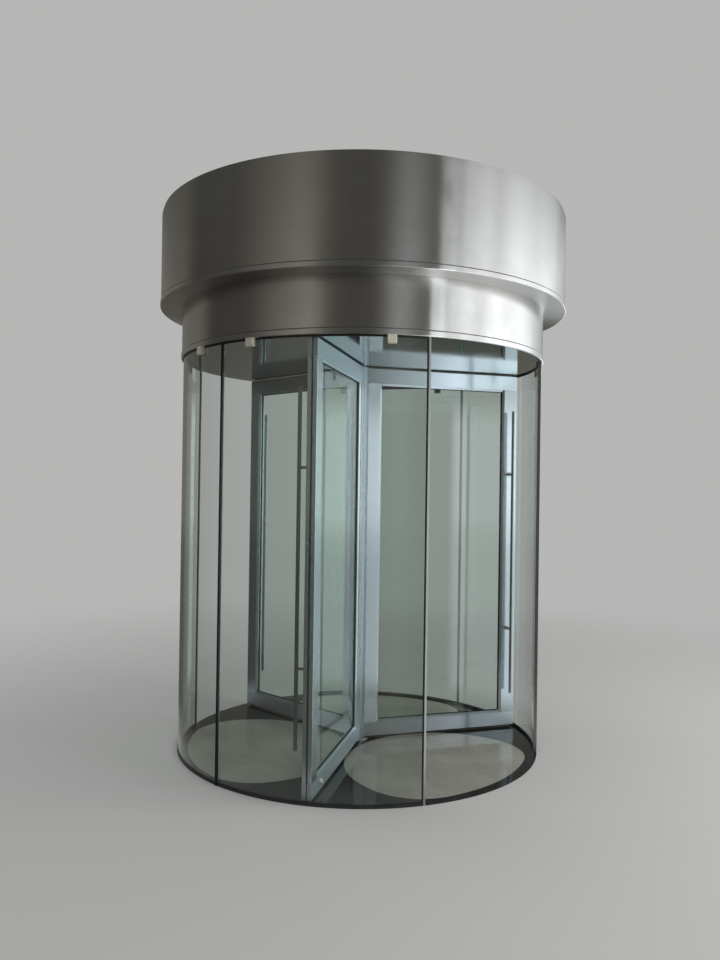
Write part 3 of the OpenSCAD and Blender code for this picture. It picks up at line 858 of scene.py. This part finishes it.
def build_world():
    world = bpy.data.worlds.new("studio")
    bpy.context.scene.world = world
    world.use_nodes = True
    world.cycles.sampling_method = "NONE"
    world.node_tree.nodes.clear()
    net = Net(world.node_tree)
    toward = net.get("TexCoord", output="Generated")
    around = net.group("soft_panels", Direction=toward, Top=window_top(net))["Colour"]
    overhead = net.ramp(net.part(toward, "Z"), 0.255, 0.34)
    panels = net.mix(overhead, around, net.mix(0.88, around, OVERHEAD))
    direct, reflected = ray_kinds(net)
    seen = net.mix(direct, net.mix(reflected, EVEN_LIGHT, panels), BACKDROP)
    background = net.get("Background", {"Color": seen, "Strength": 1.0})
    net.add("OutputWorld", {"Surface": background})


def add_lamp(name, degrees, distance, height, size, power, aim_z, tone):
    data = bpy.data.lights.new(name, "AREA")
    data.shape = "RECTANGLE"
    data.size, data.size_y = size
    data.energy = power
    data.color = tone
    lamp = new_object(name, data)
    lamp.location = (*polar(distance, degrees), height)
    lamp.rotation_mode = "QUATERNION"
    aim = Vector((0, 0, aim_z)) - lamp.location
    lamp.rotation_quaternion = aim.to_track_quat("-Z", "Y")
    lamp.visible_camera = False
    lamp.visible_glossy = False
    lamp.visible_transmission = False


def light_stage():
    add_lamp("street_light", 292, 6.0, 3.4, (5.0, 3.6), 330, 1.0, (1.0, 0.99, 0.97))
    add_lamp("hall_light", 110, 6.5, 4.2, (4.5, 3.0), 120, 1.2, (0.98, 0.99, 1.0))
    bpy.context.scene.view_settings.view_transform = "Standard"
    cycles = bpy.context.scene.cycles
    cycles.max_bounces = 32
    cycles.diffuse_bounces = 3
    cycles.glossy_bounces = 8
    cycles.transmission_bounces = 24
    cycles.transparent_max_bounces = 24
    cycles.caustics_reflective = False
    cycles.caustics_refractive = False


# Floor


def inlay_outline(turn):
    """A rim arc, two corner arcs and the main circle, as in the part's source."""
    slope = math.sin(math.radians(60))
    offset = (RIM_R + INLAY_OVERRUN + INLAY_GAP / 2) / (1 + slope)
    main_r = offset * slope - INLAY_GAP / 2
    far, near = RIM_R - INLAY_CORNER, main_r - INLAY_CORNER
    x = (far**2 - near**2 + offset**2) / (2 * offset)
    y = math.sqrt(far**2 - x**2)
    a = math.degrees(math.atan2(y, x))
    b = math.degrees(math.atan2(y, x - offset))
    loop = []
    for centre, r, a0, a1, count in (
        ((0, 0), RIM_R, -a, a, 40),
        ((x, y), INLAY_CORNER, a, b, 24),
        ((offset, 0), main_r, b, 360 - b, 110),
        ((x, -y), INLAY_CORNER, 360 - b, 360 - a, 24),
    ):
        loop += arc(centre, r, a0, a1, count)[:-1]
    return [spun(*point, turn) for point in loop]


def build_disc():
    """The stone disc, with a chamfered rim and a pocket for each inlay."""
    chamfer = 0.0012
    rim = [polar(DISC_R, i * 360 / 300) for i in range(300)]
    made = bmesh.new()

    def stack(*levels):
        """Joins loops one above another and caps the lowest. Returns the top's edges."""
        rows = [[made.verts.new((*p, z)) for p in loop] for loop, z in levels]
        for low, high in zip(rows, rows[1:]):
            for i in range(len(low)):
                j = (i + 1) % len(low)
                made.faces.new((low[i], low[j], high[j], high[i]))
        made.faces.new(rows[0][::-1])
        return [made.edges.get((p, q)) for p, q in zip(rows[-1], rows[-1][1:] + rows[-1][:1])]

    edges = stack((rim, 0.0), (rim, FLOOR - chamfer), (inset(rim, chamfer), FLOOR))
    for turn in INLAY_TURNS.values():
        back = inlay_outline(turn)[::-1]
        mouth = (inset(back, STONE_ARRIS), FLOOR)
        edges += stack((back, FLOOR - INLAY_T), (back, FLOOR - STONE_ARRIS), mouth)
    filled = bmesh.ops.triangle_fill(
        made, use_beauty=True, use_dissolve=False, edges=edges, normal=UP
    )
    for face in filled["geom"]:
        if isinstance(face, bmesh.types.BMFace) and face.normal.z < 0:
            face.normal_flip()
    mesh = bpy.data.meshes.new("stone_disc")
    made.to_mesh(mesh)
    made.free()
    add_mesh("stone_disc", mesh, "dark_granite", "drum", "floor_disc")


def build_floor():
    build_disc()
    for name, turn in INLAY_TURNS.items():
        outline = inset(inlay_outline(turn), STONE_JOINT)
        stone = slab(outline, FLOOR - INLAY_T, FLOOR, STONE_ARRIS)
        add_drum(f"stone_inlay_{name}", [stone], "cream_marble", f"floor_inlay_{name}")
    top = FLOOR + 0.046
    cover = [(0.064, FLOOR), (0.064, FLOOR + 0.002), (0.049, FLOOR + 0.006)]
    cover += [(0.0152, FLOOR + 0.006), (0.015, FLOOR + 0.044), (0.013, top)]
    profile = soften(cover, 0.0005) + [(0.0, top), (0.0, FLOOR)]
    add_drum("bearing_cover", [turned(profile, step=4)], "satin_steel", "floor_bearing")


# Drum wall


def degrees_for(width):
    return math.degrees(width / GLASS_OUT)


def build_wall(side, middle):
    add = adder(side + "_", "drum")
    edge = degrees_for(EDGE_W)
    # Panes, with green polished edges
    profile = box(GLASS_IN, GLASS_OUT, GLASS_FOOT, GLASS_HEAD, 0.0009)
    front = 1 if side == "left" else -1
    for end, sign in (("front", front), ("rear", -front)):
        near = middle + sign * degrees_for(PANE_GAP) / 2
        far = middle + sign * (HALF_WALL - edge / 3 - degrees_for(GLASS_GAP))
        solids = [turned(profile, *sorted((near, far)), 1.0, 0.0009)]
        pane = add("pane_" + end, solids, "drum_glass", "glass_" + end).data
        pane.materials.append(finishes["glass_arris"])
        for face in pane.polygons:
            out = Vector((face.center.x, face.center.y, 0)).normalized()
            face.material_index = abs(face.normal.dot(out)) < 0.5
    # Edge profiles, a U in plan, and black gaskets between them and the glass
    outer, inner = GLASS_OUT + EDGE_LEG, GLASS_IN - EDGE_LEG
    slot_out, slot_in = GLASS_OUT + GLASS_GAP, GLASS_IN - GLASS_GAP
    caps, gaskets = [], []
    for sign in (-1, 1):
        tip = middle + sign * HALF_WALL
        heel, seat = tip - sign * edge, tip - sign * edge / 3
        loop = [polar(outer, heel), polar(outer, tip), polar(inner, tip), polar(inner, heel)]
        loop += [polar(slot_in, heel), polar(slot_in, seat)]
        loop += [polar(slot_out, seat), polar(slot_out, heel)]
        caps.append(slab(soften(loop, 0.0006)[::-sign], FLOOR, CEILING, 0.0003))
        ends = sorted((heel, heel - sign * degrees_for(0.0045)))
        for r0, r1 in ((GLASS_OUT, GLASS_OUT + 0.002), (GLASS_IN - 0.002, GLASS_IN)):
            strip = box(r0, r1, FLOOR + SILL_H, CEILING - HEAD_H, 0.0006)
            gaskets.append(turned(strip, *ends, 0.2, 0.0006))
    add("edge_caps", caps, "edge_steel", "edge_profiles")
    add("edge_gaskets", gaskets, "black_rubber")
    # Sealant in the joint between the panes
    gap = degrees_for(PANE_GAP / 2 - 0.0002)
    section = box(GLASS_IN + 0.0008, GLASS_OUT - 0.0004, GLASS_FOOT, GLASS_HEAD, 0.0004)
    bead = turned(section, middle - gap, middle + gap, 0.1, 0.0002)
    add("joint_sealant", [bead], "grey_sealant")
    # Floor and head channels, a U in section
    leg_out, leg_in = GLASS_OUT + CHANNEL_LEG, GLASS_IN - CHANNEL_LEG
    ends = (middle - HALF_WALL + edge, middle + HALF_WALL - edge)
    for name, stands_for, back, seat, free in (
        ("sill_channel", "floor_channel", FLOOR, GLASS_FOOT, FLOOR + SILL_H),
        ("top_channel", "head_channel", CEILING, GLASS_HEAD, CEILING - HEAD_H),
    ):
        section = [(leg_in, back), (leg_out, back), (leg_out, free), (slot_out, free)]
        section += [(slot_out, seat), (slot_in, seat), (slot_in, free), (leg_in, free)]
        section = soften(section if free > back else section[::-1], 0.0006)
        add(name, [turned(section, *ends, 1.0, 0.0004)], "dark_anodised", stands_for)


# Canopy


def rolled_edge(r, z0, h):
    p = BEAD_PROUD
    foot = held_arc((r, z0 + p), p, -90, 0)[1:]
    return foot + held_arc((r, z0 + h - p), p, 0, 90)[:-1]


# A thin dark ring just proud of the band, above a bead: painted shade for the shadow in the seam
def seam_shade_ring(r, z):
    return box(r, r + 0.0012, z, z + 0.0022, 0.0004)


def build_canopy():
    inner, outer = LOWER_BAND_R - BAND_T, UPPER_BAND_R - BAND_T
    step, under_roof = LOWER_TOP - SHEET_T, UPPER_TOP - SHEET_T
    trim_r = UPPER_BAND_R - TRIM_INSET
    lower_band = box(inner, LOWER_BAND_R, CEILING, step, 0.0006)
    upper_band = box(outer, UPPER_BAND_R, step, UPPER_TOP)
    lower_bead = rolled_edge(LOWER_BAND_R, CEILING, LOWER_BEAD_H)
    upper_bead = rolled_edge(UPPER_BAND_R, step, UPPER_BEAD_H)
    # Painted shade: a dark ring above each bead
    seam_shade_rings = seam_shade_ring(LOWER_BAND_R, CEILING + LOWER_BEAD_H), seam_shade_ring(UPPER_BAND_R, step + UPPER_BEAD_H)
    step_sheet = box(inner, outer, step, LOWER_TOP, 0.0005)
    trim = box(trim_r - BAND_T, trim_r, UPPER_TOP, UPPER_TOP + TRIM_H)
    roof = [(0.0, under_roof), (outer, under_roof), (outer, UPPER_TOP), (0.0, UPPER_TOP)]
    ceiling = box(CEILING_HOLE, inner, CEILING, CEILING + CEILING_T, 0.0006)
    for name, profiles, look, *stands_for in (
        ("lower_band_sheet", [lower_band], "brushed_band", "canopy_lower_band"),
        ("upper_band_sheet", [upper_band], "brushed_band", "canopy_upper_band"),
        ("lower_rolled_bead", [lower_bead], "rolled_bead", "canopy_lower_bead"),
        ("upper_rolled_bead", [upper_bead], "rolled_bead", "canopy_upper_bead"),
        ("bead_seams", seam_shade_rings, "grey_gasket"),
        ("step_sheet_ring", [step_sheet], "step_sheet", "canopy_step"),
        ("top_trim_ring", [trim], "brushed_band", "canopy_top_trim"),
        ("roof_cover", [roof], "roof_sheet", "canopy_roof"),
        ("ceiling_disc", [ceiling], "mirror_ceiling", "ceiling_panel"),
    ):
        add_drum(name, [turned(p) for p in profiles], look, *stands_for)


# Wings

ACROSS_LEAN = 0.15


def wing_place(angle):
    return lambda x, y, z: (*spun(x, y, angle), z)


def post_face(u, v):
    """How far out the centre post's face lies, v to the side of the wing's middle."""
    return math.sqrt(SHAFT_R**2 - v**2)


def mark_members(piece, angle, along_z):
    """Stores each point's place, along its member first, and the way across, for the grain."""
    radial, side = Vector((*polar(1, angle), 0)), Vector((*polar(1, angle + 90), 0))
    across = (radial if along_z else Vector(UP)) + side * ACROSS_LEAN
    store = piece.data.attributes.new("member", "FLOAT_VECTOR", "POINT")
    ways = piece.data.attributes.new("across", "FLOAT_VECTOR", "POINT")
    for vertex, datum, way in zip(piece.data.vertices, store.data, ways.data):
        x, y, z = vertex.co
        out, aside = spun(x, y, -angle)
        datum.vector = (z, out, aside) if along_z else (out, z, aside)
        way.vector = across


def bead_half(w, sign):
    """One side of a glazing bead that ends at w, out to the bottom of its groove."""
    half, glass = WING_T / 2, WING_GLASS_T / 2
    foot = w - GLAZING_BEAD_W
    points = [(foot, half), (foot + 0.001, half - 0.003), (w, GLAZING_BEAD_T / 2), (w, glass)]
    return [(x, sign * y) for x, y in points + [(w - GROOVE_D, glass)]]


def glazed(w):
    return bead_half(w, -1) + bead_half(w, 1)[::-1]


def rounded_back(front):
    """Section from the rounded back at 0, with its seal slot, to the front, anticlockwise."""
    half, r, s = WING_T / 2, EDGE_ROUND, SEAL_T / 2
    lower = held_arc((r, r - half), r, 180, 270)
    upper = held_arc((r, half - r), r, 90, 180)
    return lower + front + upper + [(0.0, s), (SEAL_SLOT, s), (SEAL_SLOT, -s), (0.0, -s)]


def build_wing(key, angle):
    add = adder(f"wing_{key}_", "rotor")
    place = wing_place(angle)
    half = WING_T / 2
    section = rounded_back(glazed(WING_REACH - OUTER_EDGE))
    outer = [(WING_REACH - u, v) for u, v in section][::-1]
    section = [(0.0, -half), *glazed(HINGE_EDGE - HINGE_BACK), (0.0, half)]
    hinge = [(max(HINGE_BACK + u, post_face(u, v)), v) for u, v in section]
    lean = math.degrees(math.asin(half / SHAFT_R))
    hinge += arc((0, 0), SHAFT_R, lean, -lean, 10)[1:-1]
    solids = [prism(loop, STILE_FOOT, STILE_HEAD, place) for loop in (outer, hinge)]
    mark_members(add("stile_pair", solids, "stile_aluminium", "stiles"), angle, True)
    # Rails: u is the height from the free edge and v runs across
    solids = []
    for foot, up, height in ((RAIL_FOOT, 1, BOTTOM_RAIL_H), (RAIL_HEAD, -1, TOP_RAIL_H)):

        def lay(u, v, w):
            return place(w, v * up, foot + u * up)

        body_h = height - GLAZING_BEAD_W
        loop = rounded_back([(body_h, -half), (body_h, half)])
        solids.append(prism(loop, post_face, WING_REACH, lay))
        for sign in (-1, 1):
            bead = [(body_h, sign * WING_GLASS_T / 2), *bead_half(height, sign)[:4]]
            solids.append(prism(bead[::-sign], HINGE_EDGE, OUTER_EDGE, lay))
    mark_members(add("rail_pair", solids, "rail_aluminium", "rails"), angle, False)
    build_wing_glass(add, place)
    build_handle(add, angle)
    build_seals(add, angle, place)
    build_brushes(add, place, f"wing_{key}_bristles", round(angle))


def build_wing_glass(add, place):
    half, arris = WING_GLASS_T / 2, 0.0008
    reach = GROOVE_D - GROOVE_END
    loop = box(HINGE_EDGE - reach, OUTER_EDGE + reach, -half, half, arris)
    z0 = STILE_FOOT + GLAZING_BEAD_W - GROOVE_D
    z1 = STILE_HEAD - GLAZING_BEAD_W + reach
    add("pane", [prism(loop, z0, z1, place, arris)], "wing_glass", "glass")
    # Wedge gaskets round the glass: (distance inside the frame, distance off the glass)
    wedge = ((0.0, 0.0001), (0.0, 0.0036), (0.0012, 0.0038), (0.0034, 0.0008), (0.0036, 0.0001))
    low, high = RAIL_FOOT + BOTTOM_RAIL_H, RAIL_HEAD - TOP_RAIL_H
    at_foot = [(HINGE_EDGE, low, 1, 1), (OUTER_EDGE, low, -1, 1)]
    at_head = [(OUTER_EDGE, high, -1, -1), (HINGE_EDGE, high, 1, -1)]
    solids = []
    for side in (-1, 1):
        sections = [
            [place(x + sx * u, side * (half + v), z + sz * u) for u, v in wedge]
            for x, z, sx, sz in at_foot + at_head
        ]
        solids.append(swept(sections, True))
    add("glazing_gasket", solids, "black_rubber")


def build_handle(add, angle):
    """Bar with closed ends, two stand-offs with saddles and their roses."""
    wing = Matrix.Rotation(math.radians(angle), 4, "Z")
    face = -WING_T / 2
    bar_at = wing @ Matrix.Translation((HANDLE_R, face - STANDOFF_LEN, HANDLE_MID))
    r, half = HANDLE_D / 2, HANDLE_LEN / 2
    cap = half - 0.006
    end = [(r - 0.0016, half), (r - 0.0005, half - 0.0005), (r, half - 0.0016)]
    end += [(r, cap + 0.0003), (r - 0.0004, cap), (r, cap - 0.0003)]
    profile = [(0.0, -half)] + [(x, -z) for x, z in end] + end[::-1] + [(0.0, half)]
    solids = [moved(turned(profile, step=7.5), bar_at)]
    r, saddle, top = STANDOFF_D / 2, STANDOFF_D / 2 + 0.0012, STANDOFF_LEN - 0.004
    stand = [(0.0, 0.0), (r, 0.0), (r, STANDOFF_LEN - 0.012)]
    stand += [(saddle, STANDOFF_LEN - 0.0085), (saddle, top), (0.0, top)]
    r = ROSE_D / 2
    rose = [(0.0, 0.0), (r, 0.0), (r, ROSE_T - 0.0012)]
    rose += [(r - 0.0004, ROSE_T - 0.0004), (r - 0.0012, ROSE_T), (0.0, ROSE_T)]
    for z in (-STANDOFF_PITCH / 2, STANDOFF_PITCH / 2):
        at = wing @ Matrix.Translation((HANDLE_R, face, HANDLE_MID + z))
        at = at @ Matrix.Rotation(math.radians(90), 4, "X")
        solids.append(moved(turned(stand, step=9), at))
        solids.append(moved(turned(rose, step=7.5), at))
    add("pull_bar", solids, "handle_steel", "handle")


def lip_wave(z, phase):
    """Sideways waver of a rubber lip, in metres."""
    return LIP_WAVER * sum(
        size * math.sin(2 * math.pi * z / length + offset + phase)
        for length, size, offset in LIP_WAVES
    )


def build_seals(add, angle, place):
    """Rubber lip: a foot in the slot and a tapering blade. (x, y, share of the waver)"""
    half, foot = SEAL_T / 2 - SEAL_PLAY, WING_REACH - SEAL_SLOT + SEAL_PLAY
    side = [(foot, half, 0), (WING_REACH - 0.001, half, 0)]
    side += [(WING_REACH + 0.0004, half - 0.0012, 0.15)]
    side += [(LIP_R - 0.0022, 0.0019, 0.7), (LIP_R - 0.0005, 0.0012, 1)]
    section = [(x, -y, free) for x, y, free in side] + [(LIP_R, 0.0, 1)] + side[::-1]
    low, high, count = RAIL_FOOT + 0.001, RAIL_HEAD - 0.001, 180
    sections = []
    for z in (low + (high - low) * i / count for i in range(count + 1)):
        wave = lip_wave(z, angle * 0.07)
        sections.append([place(x, y + free * wave, z) for x, y, free in section])
    add("edge_lip", [swept(sections)], "black_rubber", "seals")


def build_brushes(add, place, name, seed):
    """Brush carriers in the rails' slots, each with a thin fin and a row of tufts."""
    half = SEAL_T / 2 - SEAL_PLAY
    inner, outer = SHAFT_R + 0.002, WING_REACH - SEAL_SLOT
    loop = box(inner, outer, -half, half, 0.0004)
    fin = box(inner, outer, -0.0006, 0.0006, 0.0002)
    reach, seat, proud = BRISTLE_GAP + TUFT_LENGTH, SEAL_SLOT - 0.0005, 0.0016
    solids, rows = [], []
    for z0, z1, tip, root, way in (
        (RAIL_FOOT - proud, RAIL_FOOT + seat, FLOOR + FIN_GAP, FLOOR + reach, -1),
        (RAIL_HEAD - seat, RAIL_HEAD + proud, CEILING - FIN_GAP, CEILING - reach, 1),
    ):
        solids.append(prism(loop, z0, z1, place))
        solids.append(prism(fin, min(z0, tip), max(z1, tip), place, 0.0002))
        rows.append((place(inner + 0.002, 0, root), place(outer - 0.002, 0, root), way))
    add("brush_carriers", solids, "black_rubber")
    points = []
    for start, end, way in rows:
        a, b = Vector(start), Vector(end)
        count = round((b - a).length / TUFT_PITCH)
        along = (b - a).normalized()
        points += [(a.lerp(b, i / count), (0, 0, way), along) for i in range(count + 1)]
    uneven = {"Spin": math.pi, "Tilt": 0.07, "Size Spread": 0.05, "Seed": seed}
    set_out(name, tuft_mesh(), points, "brush_hair", "rotor", uneven)


# Repeated pieces, set out by Geometry Nodes


def tuft_mesh():
    """Seven tapering bristles that spread from one root, along +Z."""
    rng = random.Random(11)
    verts, faces = [], []
    for i in range(7):
        x, y = rng.uniform(-0.0016, 0.0016), rng.uniform(-0.0028, 0.0028)
        lean_x, lean_y = rng.uniform(-0.0012, 0.0012), rng.uniform(-0.0010, 0.0010)
        length = TUFT_LENGTH * rng.uniform(0.90, 1.0)
        base = len(verts)
        for r, u, v, z in ((0.00055, x, y, 0.0), (0.0003, x + lean_x, y + lean_y, length)):
            verts += [(u + c, v + s, z) for c, s in (polar(r, 120 * k + 40 * i) for k in range(3))]
        for k in range(3):
            j = (k + 1) % 3
            faces.append((base + k, base + j, base + 3 + j, base + 3 + k))
        faces += [(base + 2, base + 1, base), (base + 3, base + 4, base + 5)]
    return new_mesh("bristle_tuft", verts, faces)


def screw_mesh(r, h):
    """A low domed head with a hexagon socket, standing along +Z on z = 0."""
    sides, socket = 24, 6
    rings = [(r, 0.0), (r, h * 0.45), (r * 0.90, h * 0.80), (r * 0.66, h)]
    verts = [(*polar(out, 360 * k / sides), z) for out, z in rings for k in range(sides)]
    faces = [tuple(reversed(range(sides)))]
    base, top = len(verts), len(verts) - sides
    for a in range(0, top, sides):
        for k in range(sides):
            j = (k + 1) % sides
            faces.append((a + k, a + j, a + sides + j, a + sides + k))
    verts += [(*polar(r * 0.42, 60 * k), z) for z in (h, h * 0.25) for k in range(socket)]
    for k in range(socket):
        j = (k + 1) % socket
        span = [top + (4 * k + i) % sides for i in range(5)]
        faces.append((*span, base + j, base + k))
        faces.append((base + k, base + j, base + socket + j, base + socket + k))
    faces.append(tuple(base + socket + k for k in range(socket)))
    return new_mesh("socket_screw", verts, faces)


def set_out_tree():
    """Puts a piece on every point, turned by the point's own vectors, a little unevenly."""
    tree = bpy.data.node_groups.new("set_out_pieces", "GeometryNodeTree")
    add_socket(tree, "INPUT", "Geometry", "Geometry")
    add_socket(tree, "OUTPUT", "Geometry", "Geometry")
    add_socket(tree, "INPUT", "Piece", "Object")
    add_socket(tree, "INPUT", "Finish", "Material")
    for label in ("Spin", "Tilt", "Size Spread"):
        add_socket(tree, "INPUT", label, "Float", 0.0)
    add_socket(tree, "INPUT", "Seed", "Int", 0)
    net = Net(tree)
    given = net.add("NodeGroupInput").outputs
    sink = net.add("NodeGroupOutput").inputs

    def stored(name):
        kind = "GeometryNodeInputNamedAttribute"
        return net.get(kind, {"Name": name}, "Attribute", data_type="FLOAT_VECTOR")

    def spread(amount, seed_shift):
        seed = net.plus(given["Seed"], float(seed_shift))
        values = {2: net.times(amount, -1.0), 3: amount, "Seed": seed}
        return net.get("FunctionNodeRandomValue", values, 1, data_type="FLOAT")

    axes = net.get(
        "FunctionNodeAxesToRotation",
        {"Primary Axis": stored("facing"), "Secondary Axis": stored("along")},
        primary_axis="Z",
        secondary_axis="X",
    )
    turns = {0: spread(given["Tilt"], 1), 1: spread(given["Tilt"], 2), 2: spread(given["Spin"], 3)}
    local = net.get("FunctionNodeEulerToRotation", {0: net.get("CombineXYZ", turns)})
    both = {0: axes, 1: local}
    placing = {
        "Points": given["Geometry"],
        "Instance": net.get("GeometryNodeObjectInfo", {0: given["Piece"]}, "Geometry"),
        "Rotation": net.get("FunctionNodeRotateRotation", both, rotation_space="LOCAL"),
        "Scale": net.plus(spread(given["Size Spread"], 4), 1.0),
    }
    placed = net.get("GeometryNodeInstanceOnPoints", placing)
    real = net.get("GeometryNodeRealizeInstances", {0: placed})
    coat = {"Geometry": real, "Material": given["Finish"]}
    net.fill(sink, {0: net.get("GeometryNodeSetMaterial", coat)})
    return tree


def set_out(name, piece_mesh, points, look, body, uneven):
    """One piece with piece_mesh at each of the points, which are (place, facing, along)."""
    spots = new_mesh(name + "_points", [p[0] for p in points], [])
    for label, index in (("facing", 1), ("along", 2)):
        store = spots.attributes.new(label, "FLOAT_VECTOR", "POINT")
        for datum, p in zip(store.data, points):
            datum.vector = tuple(p[index])
    holder = new_object(name + "_points", spots)
    source = new_object(name + "_source", piece_mesh)
    modifier = holder.modifiers.new("set_out", "NODES")
    modifier.node_group = trees["set_out"]
    values = {"Piece": source, "Finish": finishes[look], **uneven}
    for item in trees["set_out"].interface.items_tree:
        if item.item_type == "SOCKET" and item.in_out == "INPUT" and item.name in values:
            modifier[item.identifier] = values[item.name]
    bpy.context.view_layer.update()
    graph = bpy.context.evaluated_depsgraph_get()
    mesh = bpy.data.meshes.new_from_object(holder.evaluated_get(graph))
    holder.modifiers.clear()
    bpy.data.objects.remove(holder)
    bpy.data.objects.remove(source)
    add_mesh(name, mesh, look, body, sharp=SHARP_ANGLE_SMALL)


def set_screws(name, r, h, points, seed):
    uneven = {"Spin": 3.0, "Tilt": 0.0, "Size Spread": 0.0, "Seed": seed}
    set_out(name, screw_mesh(r, h), points, "satin_steel", "drum", uneven)


# Fixings


def dress(node, name, look):
    """A CAD node's own shape with its edges broken, standing for the node."""
    made = bmesh.new()
    made.from_mesh(nodes[node].data)
    bmesh.ops.remove_doubles(made, verts=made.verts, dist=2e-5)
    bmesh.ops.dissolve_limit(
        made, angle_limit=math.radians(1), verts=made.verts, edges=made.edges
    )
    limit = math.radians(25)
    sharp = [e for e in made.edges if len(e.link_faces) == 2 and e.calc_face_angle(0) > limit]
    rounding = {"offset": 0.0005, "offset_type": "OFFSET", "segments": 2, "profile": 0.5}
    bmesh.ops.bevel(made, geom=sharp, affect="EDGES", clamp_overlap=True, **rounding)
    mesh = bpy.data.meshes.new(name)
    made.to_mesh(mesh)
    made.free()
    add_mesh(name, mesh, look, "drum", node)


def build_fixings():
    dress("glass_clamps", "pane_clamps", "cream_cover")
    for side in WALLS:
        dress(f"{side}_facade_post", f"{side}_joint_post", "dark_anodised")
    # One screw in each clamp's front, and a pad between each clamp and the glass
    points, pads = [], []
    wide = degrees_for(CLAMP_W / 2 + 0.0012)
    foot, head = CEILING - CLAMP_H - 0.0012, CEILING - HEAD_H - 0.0002
    pad = box(GLASS_OUT + 0.0001, GLASS_OUT + 0.0022, foot, head, 0.0003)
    for middle in WALLS.values():
        for turn in (CLAMP_ANGLE - HALF_WALL, -CLAMP_ANGLE, CLAMP_ANGLE, HALF_WALL - CLAMP_ANGLE):
            at = middle + turn
            out = Vector((*polar(1, at), 0))
            place = out * (GLASS_OUT + CLAMP_D - 0.0002)
            place.z = CEILING - CLAMP_H / 2 + 0.002
            points.append((place, out, UP))
            pads.append(turned(pad, at - wide, at + wide, 0.4, 0.0003))
    set_screws("clamp_screws", 0.0034, 0.0011, points, 4)
    add_drum("clamp_pads", pads, "black_rubber")
    # Screws in the floor bearing's cover
    points = []
    for k in range(4):
        c, s = polar(1, 20 + 90 * k)
        slope = Vector((0.004 * c, 0.004 * s, 0.015)).normalized()
        points.append(((0.0565 * c, 0.0565 * s, FLOOR + 0.0041), slope, (c, s, 0)))
    set_screws("bearing_screws", 0.0038, 0.0009, points, 9)


def build_post():
    foot, hollow, head = (0.0155, 0.027), 0.030, CEILING - 0.006
    outside = soften([foot, (SHAFT_R, foot[1]), (SHAFT_R, head), (hollow, head)], 0.0008)
    profile = [foot, *outside[3:9], (hollow, head), (hollow, 2.410)]
    profile += [(0.0, 2.410), (0.0, 0.068), (foot[0], 0.068)]
    solids = [turned(profile, step=3)]
    # The post takes the darker copy of the aluminium, which paints in its shade
    add_rotor("turning_post", solids, "post_aluminium", "centre_post")


def build_lock():
    """Cylinder lock low on the first wing's leading face."""
    at = Matrix.Rotation(math.radians(WING_ANGLES["a"]), 4, "Z")
    at = at @ Matrix.Translation((0.868, WING_T / 2, 0.073))
    at = at @ Matrix.Rotation(math.radians(-90), 4, "X")
    rose = [(0.0, 0.0), (0.0145, 0.0), (0.0145, 0.0016), (0.0138, 0.0024), (0.0112, 0.0028)]
    rim = [(0.0112, 0.0094), (0.0104, 0.0102), (0.0086, 0.0102), (0.0084, 0.0090)]
    plug = [(0.0080, 0.0090), (0.0078, 0.0106), (0.0072, 0.0110), (0.0, 0.0110)]
    solids = [moved(turned(rose + rim + plug, step=7.5), at)]
    # The lock's light finish is a painted highlight
    add_rotor("wing_a_lock_cylinder", solids, "bright_steel")
    slot = slab(box(-0.0007, 0.0007, -0.004, 0.004, 0.0003), 0.0108, 0.01115, 0.0001)
    add_rotor("wing_a_keyway", [moved(slot, at)], "black_rubber")


def build_roof_details():
    """Ribbed strips over the joints of the roof sheets, with sealant and screws."""
    wide, crown, rib = 0.030, 0.0014, 0.0065
    section = [(-wide, 0.0), (wide, 0.0), (wide, crown), (0.011, crown), (0.007, rib)]
    section = soften(section + [(-0.007, rib), (-0.011, crown), (-wide, crown)], 0.0005)
    bead = soften([(-0.004, 0.0), (0.004, 0.0), (0.0025, 0.0016), (-0.0025, 0.0016)], 0.0004)
    reach = UPPER_BAND_R - TRIM_INSET - BAND_T - 0.012
    half = math.sqrt(reach**2 - (ROOF_JOINT_Y + wide + 0.006) ** 2)

    def laid(loop, y):
        return prism(loop, -half, half, lambda u, v, w: (w, y + u, UPPER_TOP + v))

    strips, lines, points = [], [], []
    for joint in (-ROOF_JOINT_Y, ROOF_JOINT_Y):
        strips.append(laid(section, joint))
        for side in (-1, 1):
            lines.append(laid(bead, joint + side * (wide + 0.004)))
            count = round(2 * half / 0.15)
            for i in range(count + 1):
                x = -half + 0.03 + (2 * half - 0.06) * i / count
                points.append(((x, joint + side * 0.0205, UPPER_TOP + crown), UP, (1, 0, 0)))
    add_drum("roof_joint_strips", strips, "roof_sheet")
    add_drum("roof_joint_sealant", lines, "grey_sealant")
    for i in range(36):
        points.append(((*polar(reach - 0.004, 5 + 10 * i), UPPER_TOP), UP, (1, 0, 0)))
    set_screws("roof_screws", 0.0065, 0.0034, points, 21)


place_camera()
build_effects()
build_panels()
for look_name, recipe in FINISHES.items():
    finish(look_name, *recipe[1:])
build_stage()
build_world()
light_stage()
build_floor()
for wall_side, wall_middle in WALLS.items():
    build_wall(wall_side, wall_middle)
build_canopy()
trees["set_out"] = set_out_tree()
for wing_key, wing_angle in WING_ANGLES.items():
    build_wing(wing_key, wing_angle)
build_post()
build_lock()
build_fixings()
build_roof_details()

# Parts inside the canopy keep their CAD shape
for hidden in ("ring_beam", "canopy_uprights", "bridge_beam", "top_bearing_housing"):
    hidden_mesh = nodes[hidden].data
    hidden_mesh.materials.clear()
    hidden_mesh.materials.append(finishes["primed_steel"])
